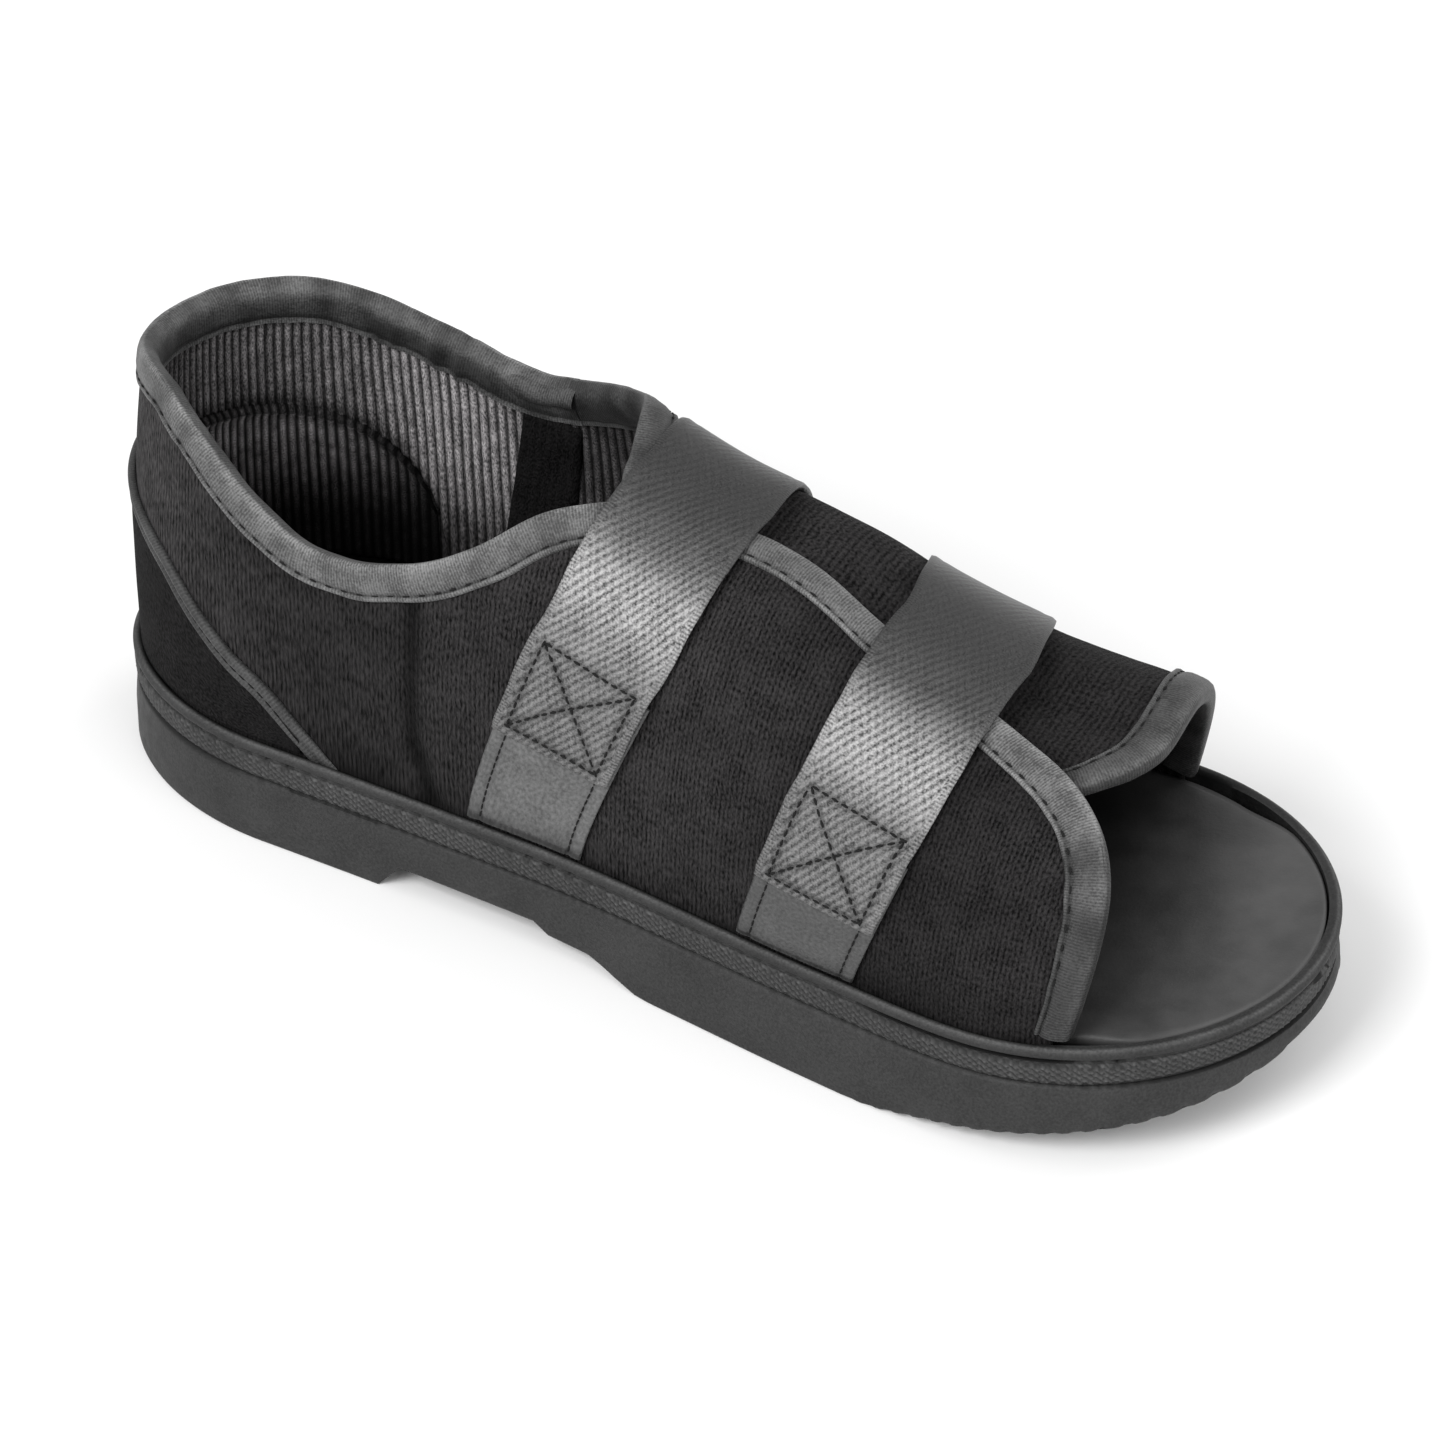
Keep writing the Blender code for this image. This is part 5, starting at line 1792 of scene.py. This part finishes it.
@dataclass(frozen=True)
class Strap:
    """Webbing strap on its satin tab, with a stitched box and cross."""

    name: str
    at: float
    lean: float
    sweep: float
    tape_from: float
    box_top: float
    width: float = 27.4 * MM
    thickness: float = 1.3 * MM
    tab: float = 1.0 * MM
    start: float = 0.15
    tab_top: float = 0.36
    end: float = 1.82
    box_bottom: float = 0.172
    box_half: float = 10.6 * MM
    low: float = 0.35 * MM
    over_tape: float = 1.4 * MM
    over_tab: float = 1.7 * MM
    # share along the strap of the painted highlight band
    painted_highlight_at: float = 0.57
    tab_tone: float = 0.8
    tab_wall: float = 0.8 * MM
    dent_depth: float = 0.34 * MM
    face_rows: int = 190
    face_columns: int = 30
    tab_rows: int = 40
    tab_columns: int = 26

    @cached_property
    def lift(self) -> Curve:
        """Height of the strap's underside over the skin, along the strap."""
        return Curve((
            (self.start, self.over_tab),
            (self.tab_top, self.over_tab),
            (self.tab_top + 0.08, self.low),
            (self.tape_from - 0.10, self.low),
            (self.tape_from, self.over_tape),
            (1.00, self.over_tape),
            (1.10, self.over_tape),
            (1.40, self.low),
            (self.end, self.low),
        ))

    def place(self, across: float, share: float) -> float:
        """Place of a point of the strap."""
        x = self.at + self.lean * (1 - max(0.0, 1 - share) ** 2.3)
        x -= self.sweep * max(0.0, share - 1) ** 1.2
        return -FORM.place_of(x + across)

    def spot(self, across: float, share: float, out: float) -> Vector:
        """Point of the strap, out over the upper's plain skin."""
        return FORM.skin(self.place(across, share), share, out)

    @cached_property
    def shares(self) -> list[float]:
        """Shares of the strap's rows."""
        return steps(self.start, self.end, self.face_rows)

    @cached_property
    def ways(self) -> list[float]:
        """Way along the strap's middle at each row."""
        points = [self.spot(0.0, share, 0.0) for share in self.shares]
        total = [0.0]
        for one, two in zip(points, points[1:]):
            total.append(total[-1] + (two - one).length)
        return total

    def seams(self) -> list[tuple[Spot, Spot]]:
        """Straight runs of the stitched box and cross, as (across, share) ends."""
        left, right = -self.box_half, self.box_half
        low, high = self.box_bottom, self.box_top
        return [
            ((left, low), (left, high)), ((left, high), (right, high)),
            ((right, high), (right, low)), ((right, low), (left, low)),
            ((left, low), (right, high)), ((left, high), (right, low)),
        ]

    def dent(self, across: float, share: float) -> float:
        """Depth to which the stitches pull the webbing in."""
        deepest = 0.0
        if share > self.box_top + 0.08:
            return 0.0
        for (a0, s0), (a1, s1) in self.seams():
            da, ds = a1 - a0, (s1 - s0) * RISE
            pa, ps = across - a0, (share - s0) * RISE
            t = min(1.0, max(0.0, (pa * da + ps * ds) / (da * da + ds * ds)))
            away = math.hypot(pa - t * da, ps - t * ds)
            deepest = max(deepest, hump(away, 0.9 * MM))
        return self.dent_depth * deepest

    def face(self) -> bmesh.types.BMesh:
        """Upper face of the webbing."""
        half = self.width / 2
        inner = steps(-half + 0.9 * MM, half - 0.9 * MM, self.face_columns)
        overs = [-half, -half + 0.3 * MM, *inner, half - 0.3 * MM, half]

        def spot(i: int, j: int) -> Vector:
            """Point of the surface."""
            share, across = self.shares[i], overs[j]
            edge = half - abs(across)
            out = self.lift.at(share) + self.thickness
            out -= 0.35 * MM * (1 - ramp(0.0, 0.8 * MM, edge))
            out -= 0.12 * MM * hump(edge - 2.3 * MM, 0.5 * MM)
            out -= 0.85 * MM * (1 - ramp(0.0, 3.0 * MM, self.ways[i]))
            out -= self.dent(across, share)
            flat_place = Vector((across, self.ways[i], 0))
            out += 0.22 * MM * roll(flat_place, 16 * MM, self.at * 1000)
            side = 0.25 * MM * roll(Vector((0, self.ways[i], 0)), 9 * MM, self.at * 2000)
            return self.spot(across + side, share, out)

        def flat(i: int, j: int) -> Spot:
            """Place of the point on the flat material."""
            return self.ways[i], overs[j]

        def shade(i: int, j: int) -> float:
            """Tone of the point: painted shade in the stitch dents, a painted highlight band across the
            strap and painted shade above it towards the top.
            """
            share = self.shares[i]
            tone = 1.0 - 0.55 * self.dent(overs[j], share) / self.dent_depth
            tone *= 1.0 + 1.25 * hump(share - self.painted_highlight_at, 0.12)
            tone *= 1.0 - 0.62 * ramp(self.painted_highlight_at + 0.05, self.painted_highlight_at + 0.24, share)
            return tone * (1.0 - 0.85 * ramp(0.76, 1.02, share))

        return grid(len(self.shares), len(overs), spot, flat, shade)

    def tab_face(self) -> bmesh.types.BMesh:
        """Face of the satin tab between the sole and the strap."""
        half = self.width / 2
        low = FORM.share_at(FORM.place_of(self.at), 0.6 * MM)
        shares = steps(low, self.tab_top, self.tab_rows)
        inner = steps(-half + 1.0 * MM, half - 1.0 * MM, self.tab_columns)
        overs = [-half, -half + 0.4 * MM, *inner, half - 0.4 * MM, half]

        def spot(i: int, j: int) -> Vector:
            """Point of the surface."""
            share, across = shares[i], overs[j]
            edge = half - abs(across)
            out = self.low + self.tab
            out -= 0.25 * MM * (1 - ramp(0.0, 0.8 * MM, edge))
            out -= 0.30 * MM * hump(abs(across) - self.box_half, 0.7 * MM)
            middle = 1 - (across / self.box_half) ** 2
            puff = 0.45 * MM * max(0.0, middle) * ramp(low, low + 0.05, share)
            out += puff * (1 - ramp(0.10, 0.17, share))
            return self.spot(across, share, out)

        def flat(i: int, j: int) -> Spot:
            """Place of the point on the flat material."""
            return shares[i] * RISE, overs[j]

        def shade(i: int, j: int) -> float:
            """Tone of the point: painted shade in the sunk seams at the sides and at the foot by the
            sole.
            """
            sunk = hump(abs(overs[j]) - self.box_half, 0.6 * MM)
            foot = 0.55 + 0.45 * ramp(low, low + 0.03, shares[i])
            return (1 - 0.35 * sunk) * foot * self.tab_tone

        return grid(len(shares), len(overs), spot, flat, shade)

    def sew(self, stitching: Stitching, tab_stitching: Stitching) -> None:
        """Lay the stitches of the box, the cross and the tab's sides."""
        for (a0, s0), (a1, s1) in self.seams():
            line, outs = [], []
            for t in steps(0.0, 1.0, 30):
                across, share = a0 + (a1 - a0) * t, s0 + (s1 - s0) * t
                top = self.lift.at(share) + self.thickness - 0.16 * MM
                line.append(self.spot(across, share, top))
                outs.append(self.spot(across, share, top + MM) - line[-1])
            stitching.run(line, outs)
        low = FORM.share_at(FORM.place_of(self.at), 1.5 * MM)
        for across in (-self.box_half, self.box_half):
            line, outs = [], []
            for share in steps(low, self.start, 20):
                top = self.low + self.tab - 0.12 * MM
                line.append(self.spot(across, share, top))
                outs.append(self.spot(across, share, top + MM) - line[-1])
            tab_stitching.run(line, outs)

    def build(self, shop: Workshop, stitching: Stitching, tab_stitching: Stitching) -> None:
        """Make the strap and its tab."""
        webbing = Webbing("webbing", self.width / 2)
        mesh = self.face()
        turn_outwards(mesh, inside_of)
        shop.piece(f"{self.name}_webbing", mesh, webbing, [self.name], 60, self.thickness)
        tab = self.tab_face()
        turn_outwards(tab, inside_of)
        satin = Satin("tab_satin_cloth")
        shop.piece(f"{self.name}_satin", tab, satin, [f"{self.name}_tab"], 60, self.tab_wall)
        self.sew(stitching, tab_stitching)


@dataclass(frozen=True)
class Straps:
    """Both straps and their stitches."""

    rear: Strap = Strap("rear_strap", 0.425 * FORM.length, 22 * MM, 16 * MM, 0.60, 0.375)
    front: Strap = Strap(
        "front_strap", 0.663 * FORM.length, 13.2 * MM, 23 * MM, 0.76, 0.425, painted_highlight_at=0.60, tab_tone=0.42,
    )

    def build(self, shop: Workshop) -> None:
        """Make both straps."""
        stitching = Stitching(pitch=2.25 * MM, length=1.75 * MM, width=0.60 * MM, height=0.46 * MM)
        tab_stitching = Stitching(pitch=2.0 * MM, length=1.9 * MM, width=0.45 * MM, height=0.4 * MM)
        for strap in (self.rear, self.front):
            strap.build(shop, stitching, tab_stitching)
        stitching.build(shop, "strap_stitches")
        tab_stitching.build(shop, "tab_stitches")


@dataclass(frozen=True)
class Studio:
    """Pale floor, soft lights and the camera at the photograph's angle."""

    azimuth: float = 29.38
    elevation: float = 37.1
    distance: float = 887 * MM
    lens: float = 107.86
    sensor: float = 36.0
    target: Vector = Vector((0.0, 0.0, 38.6 * MM))
    shift: Spot = (0.01175, -0.00407)
    floor_half: float = 4.0
    floor_tone: float = 0.80

    def direction(self, azimuth: float, elevation: float) -> Vector:
        """Direction from the shoe, azimuth 0 being the near side."""
        a, e = math.radians(azimuth), math.radians(elevation)
        return Vector((math.sin(a) * math.cos(e), -math.cos(a) * math.cos(e), math.sin(e)))

    def camera(self) -> None:
        """Set up the camera."""
        data = bpy.data.cameras.new("photo_view")
        data.lens = self.lens
        data.sensor_width = self.sensor
        data.shift_x, data.shift_y = self.shift
        data.clip_start = 10 * MM
        thing = bpy.data.objects.new("photo_view", data)
        thing.location = self.target + self.direction(self.azimuth, self.elevation) * self.distance
        thing.rotation_euler = (self.target - thing.location).to_track_quat("-Z", "Y").to_euler()
        bpy.context.scene.collection.objects.link(thing)
        bpy.context.scene.camera = thing

    def light(self, name: str, azimuth: float, elevation: float, power: float, size: float) -> None:
        """Add one soft box that looks at the shoe."""
        data = bpy.data.lights.new(name, "AREA")
        data.energy = power
        data.size = size
        thing = bpy.data.objects.new(name, data)
        thing.location = self.target + self.direction(azimuth, elevation) * 1.6
        thing.rotation_euler = (self.target - thing.location).to_track_quat("-Z", "Y").to_euler()
        bpy.context.scene.collection.objects.link(thing)

    def floor(self) -> None:
        """Add the pale floor."""
        mesh = bmesh.new()
        bmesh.ops.create_grid(mesh, x_segments=1, y_segments=1, size=self.floor_half)
        data = bpy.data.meshes.new("floor")
        mesh.to_mesh(data)
        mesh.free()
        w = Wiring("pale_floor")
        w.put(Base_Color=(self.floor_tone,) * 3 + (1.0,), Roughness=0.9, Specular_IOR_Level=0.1)
        data.materials.append(w.material)
        thing = bpy.data.objects.new("floor", data)
        bpy.context.scene.collection.objects.link(thing)

    def build(self) -> None:
        """Set up floor, lights, sky and camera."""
        self.floor()
        self.light("key", -12, 42, 24.0, 0.75)
        self.light("front_fill", 70, 30, 8.0, 1.0)
        self.light("back_fill", 150, 40, 7.0, 1.0)
        world = bpy.data.worlds.new("soft_sky")
        world.use_nodes = True
        sky = world.node_tree.nodes["Background"]
        sky.inputs[0].default_value = (1.0, 1.0, 1.0, 1.0)
        sky.inputs[1].default_value = 0.70
        bpy.context.scene.world = world
        bpy.context.scene.view_settings.view_transform = "Standard"
        self.camera()


def main() -> None:
    """Build the shoe's looks round the frame."""
    logging.basicConfig(level=logging.INFO, format="%(name)s %(message)s")
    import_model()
    shop = Workshop()
    Outsole().build(shop)
    Insole().build(shop)
    Upper().build(shop)
    Counter().build(shop)
    Bindings().build(shop)
    Straps().build(shop)
    Studio().build()


if __name__ == "__main__":
    main()
